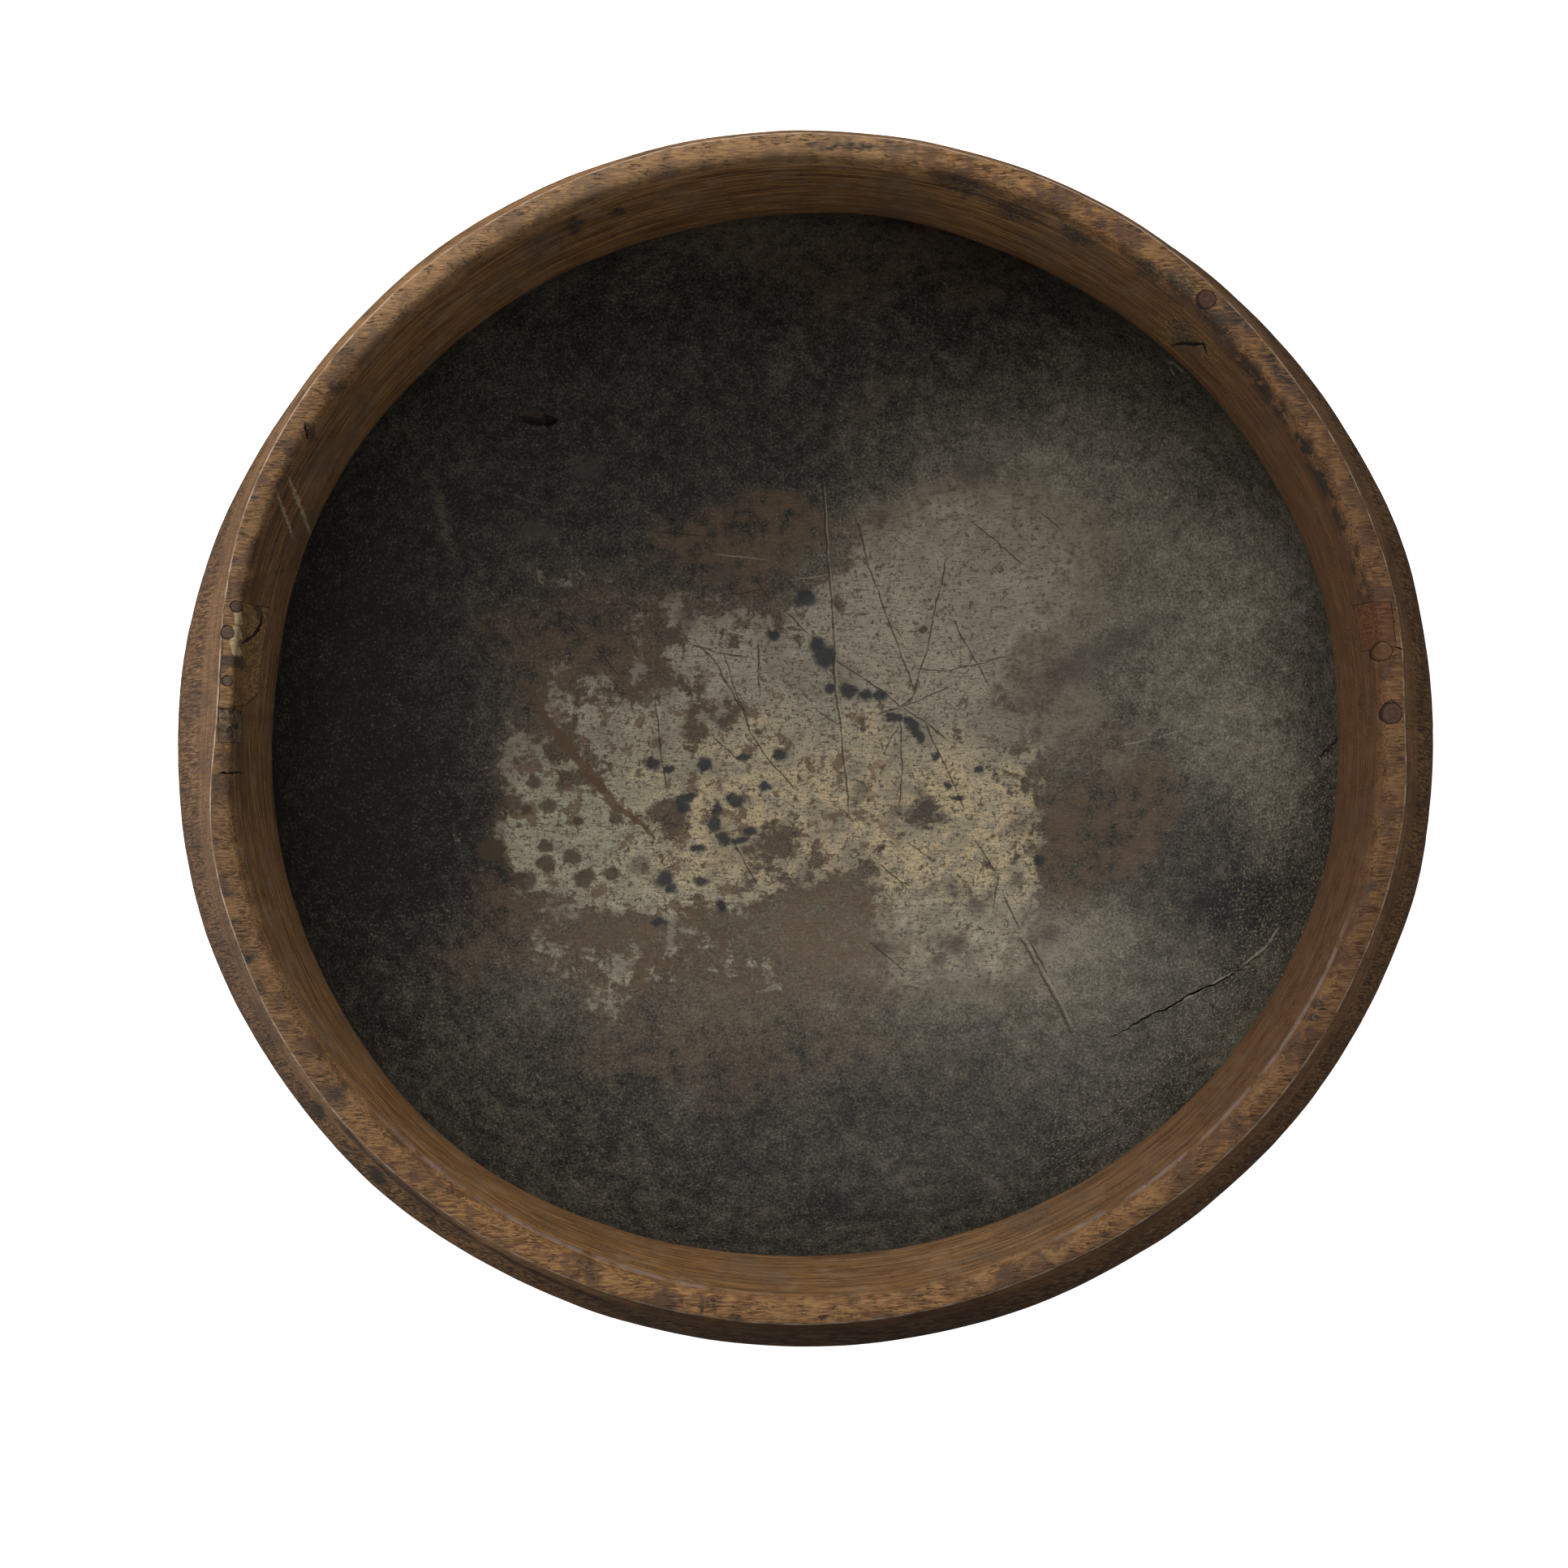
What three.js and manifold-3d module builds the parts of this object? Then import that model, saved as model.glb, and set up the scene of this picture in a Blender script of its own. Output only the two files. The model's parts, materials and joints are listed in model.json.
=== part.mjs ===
// A large old bowl carved from one block of wood, with its old rim repairs.
// Millimetres, +Z up, +X along the grain. The origin is the middle of the foot's underside.

import * as THREE from 'three';
import { mergeVertices } from 'three/addons/utils/BufferGeometryUtils.js';
import Module from 'manifold-3d';

const wasm = await Module();
wasm.setup();

// Driving dimensions of the bowl. Radii are means; the oval below stretches them along X.
const HEIGHT = 150;
const FOOT_RADIUS = 100;
const FOOT_EDGE = 3;
const BULGE_RADIUS = 246.7;
const BULGE_HEIGHT = 102;
const RIM_OUTER_RADIUS = 234.3;
const RIM_INNER_RADIUS = 224.3;
const RIM_EDGE = 1;
const COLLAR_EDGE_RADIUS = 210.5;
const COLLAR_EDGE_HEIGHT = 115;
const UNDERCUT = 4;
const FLOOR_THICKNESS = 20;
const SEGMENTS = 80;
const CURVE_STEPS = 8;

// Handles that bend the section's curves, each as [radius, height].
const LOWER_WALL_HANDLES = [[180, 18], [BULGE_RADIUS, 52]];
const UPPER_WALL_HANDLES = [[BULGE_RADIUS, 118], [240, 136]];
const COLLAR_HANDLES = [[220, 138], [212, 124]];
const BASIN_HANDLES = [[216, 58], [152, FLOOR_THICKNESS]];

// The wood has shrunk across the grain, and less at the stiff rim than below it.
const OVAL_BELOW = 0.0148;
const OVAL_AT_RIM = 0.0085;
const OVAL_FROM_HEIGHT = 110;

// The rim is worn inwards at both repairs.
const DENT_FROM_HEIGHT = 122;
const DENTS = [
  { angle: 179, spread: 9, depth: 6.3 },
  { angle: 168, spread: 8, depth: 2.6 },
  { angle: 1, spread: 7, depth: 2.2 },
];

// Gap between pieces that touch.
const GAP = 0.3;

// Cutting shapes stand this far above the rim, and points closer than this are one corner.
const OVERSHOOT = 10;
const MERGE_WITHIN = 1e-4;

// Rim repairs. A place is given by X and Y on the rim, and depths are measured from its top.
// They stop just inside the rim's outer edge, so the outer wall runs on past them.
// The left patch's lower edge is straight as far in as `turn`, then curves past `corner` to `innerFoot`.
const LEFT_PATCH = {
  top: 47.4,
  foot: 5.9,
  innerFoot: 28,
  inner: -205,
  outerTop: -226.2,
  outerFoot: -228.4,
  turn: -224.4,
  corner: -217.5,
  depth: 22,
};
const LEFT_FILLER = { top: 5.3, foot: -7.6, inner: -217, outerTop: -228.4, outerFoot: -228.4, depth: 12 };
const RIGHT_PATCH = { top: 46.8, foot: 29.3, inner: 205, outerTop: 228.8, outerFoot: 230.4, depth: 14 };
const PEGS = [
  { name: 'left_peg_1', x: -222.3, y: 45.6, radius: 2.1, length: 32 },
  { name: 'left_peg_2', x: -225.4, y: 35.4, radius: 2.4, length: 32 },
  { name: 'left_peg_3', x: -225.4, y: 16.3, radius: 2.0, length: 32 },
  { name: 'right_peg_1', x: 225.3, y: 27.6, radius: 3.8, length: 30 },
  { name: 'right_peg_2', x: 228.4, y: 3.0, radius: 4.0, length: 30 },
  { name: 'upper_right_plug', x: 157.5, y: 166.5, radius: 3.7, length: 24 },
];
const PEG_SIDES = 20;

// Materials: colour, roughness and metalness of each piece.
const agedWood = new THREE.MeshStandardMaterial({ color: 0x6e5540, roughness: 0.7, metalness: 0 });
const patchWood = new THREE.MeshStandardMaterial({ color: 0x8a6238, roughness: 0.65, metalness: 0 });
const redPatchWood = new THREE.MeshStandardMaterial({ color: 0x7c4a2a, roughness: 0.65, metalness: 0 });
const rottenWood = new THREE.MeshStandardMaterial({ color: 0x5a4a38, roughness: 0.85, metalness: 0 });
const pegWood = new THREE.MeshStandardMaterial({ color: 0x4c3a31, roughness: 0.7, metalness: 0 });

function smoothstep(from, to, value) {
  const t = Math.min(1, Math.max(0, (value - from) / (to - from)));
  return t * t * (3 - 2 * t);
}

function toSolid(geometry) {
  const bare = geometry.clone();
  bare.deleteAttribute('normal');
  bare.deleteAttribute('uv');
  const merged = mergeVertices(bare, MERGE_WITHIN);
  const index = merged.index.array;
  const triVerts = [];
  for (let i = 0; i < index.length; i += 3) {
    const [a, b, c] = [index[i], index[i + 1], index[i + 2]];
    if (a !== b && b !== c && c !== a) {
      triVerts.push(a, b, c);
    }
  }
  const vertProperties = new Float32Array(merged.attributes.position.array);
  const mesh = new wasm.Mesh({ numProp: 3, vertProperties, triVerts: new Uint32Array(triVerts) });
  return new wasm.Manifold(mesh);
}

function toMesh(name, solid, material) {
  const { vertProperties, triVerts } = solid.getMesh();
  const geometry = new THREE.BufferGeometry();
  geometry.setAttribute('position', new THREE.BufferAttribute(vertProperties, 3));
  geometry.setIndex(new THREE.BufferAttribute(triVerts, 1));
  geometry.computeVertexNormals();
  const mesh = new THREE.Mesh(geometry, material);
  mesh.name = name;
  return mesh;
}

function curveTo(path, handles, radius, height) {
  const [first, second] = handles;
  path.bezierCurveTo(first[0], first[1], second[0], second[1], radius, height);
}

// Section through the wall: up the outside from the foot, over the rim, and down the inside.
function bowlProfile() {
  const section = new THREE.Path();
  section.moveTo(0, 0);
  section.lineTo(FOOT_RADIUS, 0);
  section.lineTo(FOOT_RADIUS + FOOT_EDGE, FOOT_EDGE);
  curveTo(section, LOWER_WALL_HANDLES, BULGE_RADIUS, BULGE_HEIGHT);
  curveTo(section, UPPER_WALL_HANDLES, RIM_OUTER_RADIUS, HEIGHT - RIM_EDGE);
  section.lineTo(RIM_OUTER_RADIUS - RIM_EDGE, HEIGHT);
  section.lineTo(RIM_INNER_RADIUS + RIM_EDGE, HEIGHT);
  section.lineTo(RIM_INNER_RADIUS, HEIGHT - RIM_EDGE);
  curveTo(section, COLLAR_HANDLES, COLLAR_EDGE_RADIUS, COLLAR_EDGE_HEIGHT);
  section.lineTo(COLLAR_EDGE_RADIUS + UNDERCUT, COLLAR_EDGE_HEIGHT - UNDERCUT);
  curveTo(section, BASIN_HANDLES, 0, FLOOR_THICKNESS);
  return section.getPoints(CURVE_STEPS);
}

function dentAt(angle, radius, height) {
  const reach = smoothstep(DENT_FROM_HEIGHT, HEIGHT, height);
  const share = smoothstep(COLLAR_EDGE_RADIUS, RIM_OUTER_RADIUS, radius);
  let sum = 0;
  for (const dent of DENTS) {
    const turn = THREE.MathUtils.euclideanModulo(angle - dent.angle + 180, 360) - 180;
    sum += dent.depth * Math.exp(-((turn / dent.spread) ** 2));
  }
  return sum * reach * share;
}

// Turns the profile, then draws it into the oval and dents the rim.
function bowlSolid() {
  const geometry = new THREE.LatheGeometry(bowlProfile(), SEGMENTS);
  geometry.rotateX(Math.PI / 2);
  const position = geometry.attributes.position;
  for (let i = 0; i < position.count; i += 1) {
    const [x, y, z] = [position.getX(i), position.getY(i), position.getZ(i)];
    const radius = Math.hypot(x, y);
    const angle = Math.atan2(y, x);
    const blend = smoothstep(OVAL_FROM_HEIGHT, HEIGHT, z);
    const oval = OVAL_BELOW + (OVAL_AT_RIM - OVAL_BELOW) * blend;
    const dent = dentAt(THREE.MathUtils.radToDeg(angle), radius, z);
    const warped = radius * (1 + oval * Math.cos(2 * angle)) - dent;
    position.setXY(i, warped * Math.cos(angle), warped * Math.sin(angle));
  }
  return toSolid(geometry);
}

// An upright prism that reaches from the given depth under the rim to well above it.
function prismFromRim(shape, depth) {
  const geometry = new THREE.ExtrudeGeometry(shape, {
    depth: depth + OVERSHOOT,
    bevelEnabled: false,
    curveSegments: CURVE_STEPS,
  });
  geometry.translate(0, 0, HEIGHT - depth);
  return toSolid(geometry);
}

// Square-ended piece across the rim, grown on all its joint faces by the given amount.
function straightPiece(size, grow) {
  const outward = Math.sign(size.outerFoot) * grow;
  const shape = new THREE.Shape();
  shape.moveTo(size.inner - outward, size.foot - grow);
  shape.lineTo(size.outerFoot + outward, size.foot - grow);
  shape.lineTo(size.outerTop + outward, size.top + grow);
  shape.lineTo(size.inner - outward, size.top + grow);
  return prismFromRim(shape, size.depth + grow);
}

// The left patch: straight at its upper end, and its lower end curves away inside the rim.
function curvedPiece(size, grow) {
  const shape = new THREE.Shape();
  shape.moveTo(size.outerFoot - grow, size.foot - grow);
  shape.lineTo(size.turn, size.foot - grow);
  shape.quadraticCurveTo(size.corner + grow, size.foot - grow, size.inner, size.innerFoot - grow);
  shape.lineTo(size.inner, size.top + grow);
  shape.lineTo(size.outerTop - grow, size.top + grow);
  return prismFromRim(shape, size.depth + grow);
}

function pegSolid(peg, grow) {
  const length = peg.length + grow + OVERSHOOT;
  const geometry = new THREE.CylinderGeometry(peg.radius + grow, peg.radius + grow, length, PEG_SIDES);
  geometry.rotateX(Math.PI / 2);
  geometry.translate(peg.x, peg.y, HEIGHT - peg.length - grow + length / 2);
  return toSolid(geometry);
}

const whole = bowlSolid();

function fitPegs(piece) {
  let fitted = piece;
  for (const peg of PEGS) {
    fitted = fitted.subtract(pegSolid(peg, GAP));
  }
  return fitted;
}

const leftPatch = fitPegs(whole.intersect(curvedPiece(LEFT_PATCH, 0)));
const leftFiller = fitPegs(whole.intersect(straightPiece(LEFT_FILLER, 0)));
const rightPatch = fitPegs(whole.intersect(straightPiece(RIGHT_PATCH, 0)));

const body = fitPegs(
  whole
    .subtract(curvedPiece(LEFT_PATCH, GAP))
    .subtract(straightPiece(LEFT_FILLER, GAP))
    .subtract(straightPiece(RIGHT_PATCH, GAP)),
);

const group = new THREE.Group();
group.add(toMesh('bowl_body', body, agedWood));
group.add(toMesh('left_rim_patch', leftPatch, patchWood));
group.add(toMesh('left_rim_filler', leftFiller, rottenWood));
group.add(toMesh('right_rim_patch', rightPatch, redPatchWood));
for (const peg of PEGS) {
  group.add(toMesh(peg.name, whole.intersect(pegSolid(peg, 0)), pegWood));
}

export default group;
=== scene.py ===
# A large old carved wooden bowl with its rim repairs: the looks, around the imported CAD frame.
# Sizes and places are in millimetres on the bowl, +X along the grain; MM turns them into metres.

import json
import math

import bmesh
import bpy
import numpy as np
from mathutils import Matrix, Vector, kdtree
from mathutils.bvhtree import BVHTree
from mathutils import noise as mnoise

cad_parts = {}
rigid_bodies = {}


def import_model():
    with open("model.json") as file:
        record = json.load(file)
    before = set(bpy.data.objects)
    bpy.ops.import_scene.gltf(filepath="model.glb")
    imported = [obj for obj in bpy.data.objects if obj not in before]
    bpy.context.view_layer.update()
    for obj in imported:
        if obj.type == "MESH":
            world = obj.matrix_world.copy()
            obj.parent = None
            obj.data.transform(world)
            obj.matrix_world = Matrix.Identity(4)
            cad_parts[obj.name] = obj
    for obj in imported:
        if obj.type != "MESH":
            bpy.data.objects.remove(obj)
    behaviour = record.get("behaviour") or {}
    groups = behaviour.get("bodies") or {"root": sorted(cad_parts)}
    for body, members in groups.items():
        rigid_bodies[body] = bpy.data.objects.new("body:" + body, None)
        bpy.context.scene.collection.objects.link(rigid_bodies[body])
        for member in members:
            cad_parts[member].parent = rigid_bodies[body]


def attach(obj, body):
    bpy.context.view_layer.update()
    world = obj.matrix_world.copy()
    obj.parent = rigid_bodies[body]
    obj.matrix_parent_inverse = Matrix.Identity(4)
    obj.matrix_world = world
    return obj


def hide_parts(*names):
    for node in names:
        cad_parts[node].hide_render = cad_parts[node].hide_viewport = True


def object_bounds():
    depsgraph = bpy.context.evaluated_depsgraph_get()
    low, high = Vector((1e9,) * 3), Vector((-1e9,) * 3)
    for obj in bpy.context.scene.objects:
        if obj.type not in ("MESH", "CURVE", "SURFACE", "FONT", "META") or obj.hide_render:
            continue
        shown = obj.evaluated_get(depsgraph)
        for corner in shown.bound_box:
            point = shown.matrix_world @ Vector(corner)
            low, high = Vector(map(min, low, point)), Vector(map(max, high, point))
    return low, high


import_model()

CAD_LOW, CAD_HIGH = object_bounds()
MM = 0.001

# Without a seed, noise_vector takes its offsets from the clock, and the film's edges would move each run.
NOISE_SEED = 106
mnoise.seed_set(NOISE_SEED)

# ---- overall sizes, and the section through the wall

HEIGHT = CAD_HIGH.z / MM
HALF_LENGTH = CAD_HIGH.x / MM
HALF_WIDTH = CAD_HIGH.y / MM
BULGE_RADIUS = (HALF_LENGTH + HALF_WIDTH) / 2
BULGE_HEIGHT = 102.0
FOOT_RADIUS = 98.0
HOLLOW_RADIUS = 92.0
FOOT_HOLLOW = 0.8
RIM_RADIUS = 234.3
RIM_WIDTH = 9.6
COLLAR_RADIUS = 210.5
COLLAR_HEIGHT = 115.0
BASIN_RADIUS = 214.5
FLOOR_HEIGHT = 20.0

# The oval: the wood has shrunk across the grain.
OVAL_BELOW = (HALF_LENGTH - HALF_WIDTH) / (2 * BULGE_RADIUS)
OVAL_AT_RIM = 0.0085
OVAL_FROM_HEIGHT = 110.0

# Where the hand-worked outlines leave the oval: (angle, spread, amount), in degrees and mm.
RIM_LOBES = [(179, 9, -6.3), (168, 8, -2.6), (1, 7, -2.2), (58, 14, 1.8), (90, 34, 1.6), (222, 24, 2.4),
             (270, 34, 1.4), (292, 14, -0.9)]
WIDTH_LOBES = [(20, 25, 0.9), (55, 8, 1.0), (167, 12, -1.2), (200, 12, 0.6), (290, 28, -1.4), (350, 12, 0.8)]
COLLAR_LOBES = [(230, 22, 4.6), (82, 14, 2.6), (0, 12, -1.8), (176, 12, -2.3)]
WALL_LOBES = [(147, 15, -2.2), (200, 13, 1.8), (226, 12, 1.6), (18, 8, 1.2), (345, 8, 0.9)]

# A shallow groove runs away from the rim's outer edge on one side: angles, drop below the edge, depth.
GROOVE = {"start": 220, "end": 252, "near": 3.0, "far": 9.0, "width": 1.3, "depth": 0.9}

# The mesh's columns, in degrees: their spacing, and where they stand closer (from, to, spacing).
COLUMN_STEP = 1.15
FINE_SECTORS = [(164, 186, 0.35), (-0.1, 13, 0.35), (42, 50, 0.45), (255, 262, 0.7), (318, 332, 0.7)]
LAST_COLUMN = 359.6

# Hand work and wear, in mm: broad and small waves, then what is worn and chipped off the rim.
BROAD_WAVE, SMALL_WAVE, RIM_WEAR, RIM_CHIP = 0.35, 0.14, 0.25, 0.5

WALL, RIM, BASIN, JOINT = range(4)


def smoothstep(low, high, value):
    t = np.clip((value - low) / (high - low), 0.0, 1.0)
    return t * t * (3 - 2 * t)


def lobes(angle, table):
    """The sum of a table's bumps at each angle, in mm."""
    total = np.zeros_like(angle)
    for centre, spread, amount in table:
        turn = np.abs((angle - centre + 540) % 360 - 180)
        total += amount * np.exp(-((turn / spread) ** 2))
    return total


def bezier(start, first, second, end, count):
    """Points along a cubic curve, without its start."""
    t = np.linspace(0, 1, count + 1)[1:, None]
    a, b, c, d = (np.array(p, float) for p in (start, first, second, end))
    return a * (1 - t) ** 3 + 3 * b * t * (1 - t) ** 2 + 3 * c * t ** 2 * (1 - t) + d * t ** 3


def section():
    """Radius, height, zone and arc length of each ring: up the outside, over the rim, down the inside.

    Arc lengths count from the rim's outer edge, negative down the outside."""
    top = HEIGHT
    rim_in = RIM_RADIUS - RIM_WIDTH
    outer_edge = (RIM_RADIUS, top - 0.9)
    arris = (rim_in - 0.5, top - 4.2)
    lip = (COLLAR_RADIUS, COLLAR_HEIGHT)
    under_lip = (COLLAR_RADIUS + 1.2, COLLAR_HEIGHT - 2.2)
    foot_edge = (103.6, 3.6)
    bulge = (BULGE_RADIUS, BULGE_HEIGHT)
    rim_top = (RIM_RADIUS - 1.3, top)
    rim_slope = (rim_in + 2.6, top - 0.6)
    basin_top = (BASIN_RADIUS, 110)
    foot_r = np.array([12.0, 34, 58, 80, HOLLOW_RADIUS, FOOT_RADIUS])
    hollow = FOOT_HOLLOW * np.clip(1 - (foot_r / HOLLOW_RADIUS) ** 2, 0, 1)
    runs = [
        (WALL, np.column_stack([foot_r, hollow])),
        (WALL, bezier((FOOT_RADIUS, 0), (101, 0), (102.6, 1.2), foot_edge, 5)),
        (WALL, bezier(foot_edge, (180, 18), (BULGE_RADIUS, 52), bulge, 34)),
        (WALL, bezier(bulge, (BULGE_RADIUS, 118), (240, 136), outer_edge, 44)),
        (RIM, bezier(outer_edge, (RIM_RADIUS - 0.1, top - 0.3), (RIM_RADIUS - 0.5, top - 0.05), rim_top, 3)),
        (RIM, bezier(rim_top, (RIM_RADIUS - 3.5, top), (rim_in + 4, top - 0.1), rim_slope, 9)),
        (RIM, bezier(rim_slope, (rim_in + 1.0, top - 1.2), (rim_in + 0.2, top - 2.2), arris, 6)),
        (RIM, bezier(arris, (219.5, 136), (212, 124), lip, 34)),
        (RIM, bezier(lip, (COLLAR_RADIUS - 0.3, COLLAR_HEIGHT - 0.7),
                     (COLLAR_RADIUS + 0.2, COLLAR_HEIGHT - 1.6), under_lip, 4)),
        (BASIN, bezier(under_lip, (BASIN_RADIUS - 1, 112.4), (BASIN_RADIUS, 111.6), basin_top, 3)),
        (BASIN, bezier(basin_top, (216, 58), (152, FLOOR_HEIGHT), (0, FLOOR_HEIGHT), 52)[:-1]),
    ]
    radius = np.concatenate([run[:, 0] for _, run in runs])
    height = np.concatenate([run[:, 1] for _, run in runs])
    zone = np.concatenate([np.full(len(run), z) for z, run in runs])
    steps = np.hypot(np.diff(radius), np.diff(height))
    arc = np.concatenate([[0], np.cumsum(steps)])
    arc -= arc[np.argmax(zone == RIM) - 1]
    return radius, height, zone, arc


def columns():
    """Angles of the mesh's columns in degrees, closer together at the repairs and cracks."""
    angles = [0.0]
    while angles[-1] < 360:
        here = angles[-1]
        step = COLUMN_STEP
        for low, high, close in FINE_SECTORS:
            if low <= here <= high:
                step = close
        angles.append(here + step)
    return np.array([a for a in angles if a < LAST_COLUMN])


def groove_drop(along):
    """How far below the rim's edge the groove runs, at each share of its length."""
    return GROOVE["near"] + (GROOVE["far"] - GROOVE["near"]) * along


def shape(radius, height, zone, arc, angle):
    """Draws the turned rings into the bowl's real, hand-worked outline, in mm and degrees."""
    theta = np.radians(angle)
    blend = smoothstep(OVAL_FROM_HEIGHT, HEIGHT, height)
    oval = OVAL_BELOW + (OVAL_AT_RIM - OVAL_BELOW) * blend
    out = radius * (1 + oval * np.cos(2 * theta))
    near_rim = smoothstep(122, HEIGHT, height)
    share = smoothstep(COLLAR_RADIUS, RIM_RADIUS, radius)
    out += lobes(angle, RIM_LOBES) * near_rim * share
    inside = zone >= RIM
    out -= lobes(angle, WIDTH_LOBES) * near_rim * np.where(inside, 1 - share, 0)
    low_wall = smoothstep(40, 100, height) * (1 - smoothstep(120, 140, height))
    out += np.where(zone == WALL, lobes(angle, WALL_LOBES) * low_wall, 0)
    collar = np.where(inside, smoothstep(60, 112, height) * (1 - smoothstep(115, 146, height)), 0)
    out += lobes(angle, COLLAR_LOBES) * collar
    along = np.clip((angle - GROOVE["start"]) / (GROOVE["end"] - GROOVE["start"]), 0, 1)
    fade = np.sin(np.pi * along) ** 0.5
    out -= GROOVE["depth"] * fade * np.exp(-(((arc + groove_drop(along)) / GROOVE["width"]) ** 2))
    return out * np.cos(theta), out * np.sin(theta)


def uneven(points, normals, arc):
    """Old hand-worked wood is never true: pushes the points a little along their normals."""
    moved = points.copy()
    for i, (p, n) in enumerate(zip(points, normals)):
        broad = mnoise.noise(Vector(p) * 0.03)
        small = mnoise.noise(Vector((p[0] * 0.08, p[1] * 0.16, p[2] * 0.16)))
        amount = BROAD_WAVE * broad + SMALL_WAVE * small
        if -2 < arc[i] < 14:
            chip = mnoise.noise(Vector((p[0] * 0.22, p[1] * 0.4, 9.0)))
            amount -= RIM_WEAR + RIM_CHIP * max(0.0, chip - 0.22)
        moved[i] += n * amount
    moved[:, 0] = np.clip(moved[:, 0], -HALF_LENGTH, HALF_LENGTH)
    moved[:, 1] = np.clip(moved[:, 1], -HALF_WIDTH, HALF_WIDTH)
    moved[:, 2] = np.clip(moved[:, 2], 0, HEIGHT)
    return moved


ZONE_MATERIALS = [bpy.data.materials.new("zone") for _ in range(4)]


def set_zones(mesh, zones):
    """Marks which surface each face belongs to, in a way that carving keeps."""
    for material in ZONE_MATERIALS:
        mesh.materials.append(material)
    mesh.polygons.foreach_set("material_index", np.asarray(zones, np.int32))
    mesh.update()


def new_object(name, mesh):
    made = bpy.data.objects.new(name, mesh)
    bpy.context.scene.collection.objects.link(made)
    return made


def make_whole():
    """The bowl before its repairs were let in."""
    radius, height, zone, arc = section()
    angle = columns()
    rings, turns = len(radius), len(angle)
    grid_r, grid_a = np.meshgrid(radius, angle, indexing="ij")
    grid_z, grid_zone, grid_arc = (np.repeat(v[:, None], turns, 1) for v in (height, zone, arc))
    x, y = shape(grid_r, grid_z, grid_zone, grid_arc, grid_a)
    points = np.column_stack([x.ravel(), y.ravel(), grid_z.ravel()])
    points = np.vstack([points, [[0, 0, FOOT_HOLLOW], [0, 0, FLOOR_HEIGHT]]])
    arcs = np.append(grid_arc.ravel(), [arc[0] - radius[0], arc[-1] + radius[-1]])
    j = np.arange(turns)
    k = (j + 1) % turns
    faces, zones = [], []
    for i in range(rings - 1):
        a, b = i * turns, (i + 1) * turns
        faces += np.column_stack([a + j, a + k, b + k, b + j]).tolist()
        zones += [int(zone[i + 1])] * turns
    last = (rings - 1) * turns
    foot_centre, floor_centre = rings * turns, rings * turns + 1
    faces += np.column_stack([np.full(turns, foot_centre), k, j]).tolist()
    faces += np.column_stack([np.full(turns, floor_centre), last + j, last + k]).tolist()
    zones += [WALL] * turns + [BASIN] * turns
    mesh = bpy.data.meshes.new("bowl")
    mesh.from_pydata(points.tolist(), [], faces)
    normals = np.array([n.vector for n in mesh.vertex_normals])
    moved = uneven(points, normals, arcs) * MM
    mesh.vertices.foreach_set("co", moved.ravel())
    set_zones(mesh, zones)
    tree = kdtree.KDTree(len(moved))
    for i, p in enumerate(moved):
        tree.insert(p, i)
    tree.balance()
    return new_object("whole_bowl", mesh), tree, arcs


# ---- repairs in the rim

# Pieces let into the rim: depth, how ragged their edges are, and their outline on the plan.
PATCHES = {
    "left_rim_patch": (22, 0.3, [
        (-228.4, 5.9), (-224.4, 5.7), (-219.8, 8.6), (-216.4, 13.1), (-214.2, 18), (-208, 26), (-204, 29),
        (-204, 47.2), (-215, 47.6), (-226.6, 47.3), (-227.3, 30)]),
    "left_rim_filler": (12, 0.5, [
        (-228.4, -7.7), (-224.6, -8.1), (-219.8, -6.4), (-217.2, -3.6), (-217, 2), (-218.4, 5.2),
        (-228.4, 5.3)]),
    "right_rim_patch": (14, 0.3, [
        (205, 29.6), (216, 29.0), (230.6, 29.5), (229.0, 46.6), (216.3, 46.9), (205, 46.2)]),
}
# Pegs: where they stand on the plan, radius, length and colour.
PEGS = {
    "left_peg_1": (-222.3, 45.6, 2.2, 32, (0.085, 0.055, 0.040)),
    "left_peg_2": (-225.6, 35.4, 2.6, 32, (0.090, 0.058, 0.042)),
    "left_peg_3": (-225.5, 16.3, 2.0, 32, (0.100, 0.062, 0.040)),
    "right_peg_1": (225.3, 27.6, 3.8, 30, (0.104, 0.050, 0.022)),
    "right_peg_2": (228.5, 3.0, 4.1, 30, (0.072, 0.037, 0.023)),
    "upper_right_plug": (157.9, 166.8, 3.7, 24, (0.066, 0.032, 0.022)),
}
# The gap left in a joint, the length of a knife cut, and how high the cutting shapes reach.
JOINT_GAP = 0.22
KNIFE_STEP = 1.2
CUT_TOP = HEIGHT + 5
# A peg goes through any patch whose middle is nearer to it than this.
PEG_REACH = 40


def jagged(outline, step, amount, seed):
    """Goes round an outline in short steps, each a little off the line, as a knife leaves it."""
    points = []
    for i, start in enumerate(outline):
        a, b = np.array(start, float), np.array(outline[(i + 1) % len(outline)], float)
        count = max(1, int(np.linalg.norm(b - a) / step))
        side = np.array([b[1] - a[1], a[0] - b[0]]) / np.linalg.norm(b - a)
        for n in range(count):
            p = a + (b - a) * n / count
            off = mnoise.noise(Vector((p[0] * 0.35, p[1] * 0.35, seed)))
            points.append(p + side * off * amount)
    return np.array(points)


def anticlockwise(points):
    ahead = np.roll(points, -1, 0)
    return np.sum(points[:, 0] * ahead[:, 1] - ahead[:, 0] * points[:, 1]) > 0


def grown(points, by):
    """Moves an outline outward by the given distance."""
    along = np.roll(points, -1, 0) - np.roll(points, 1, 0)
    along /= np.linalg.norm(along, axis=1)[:, None]
    return points + np.column_stack([along[:, 1], -along[:, 0]]) * by * (1 if anticlockwise(points) else -1)


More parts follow.
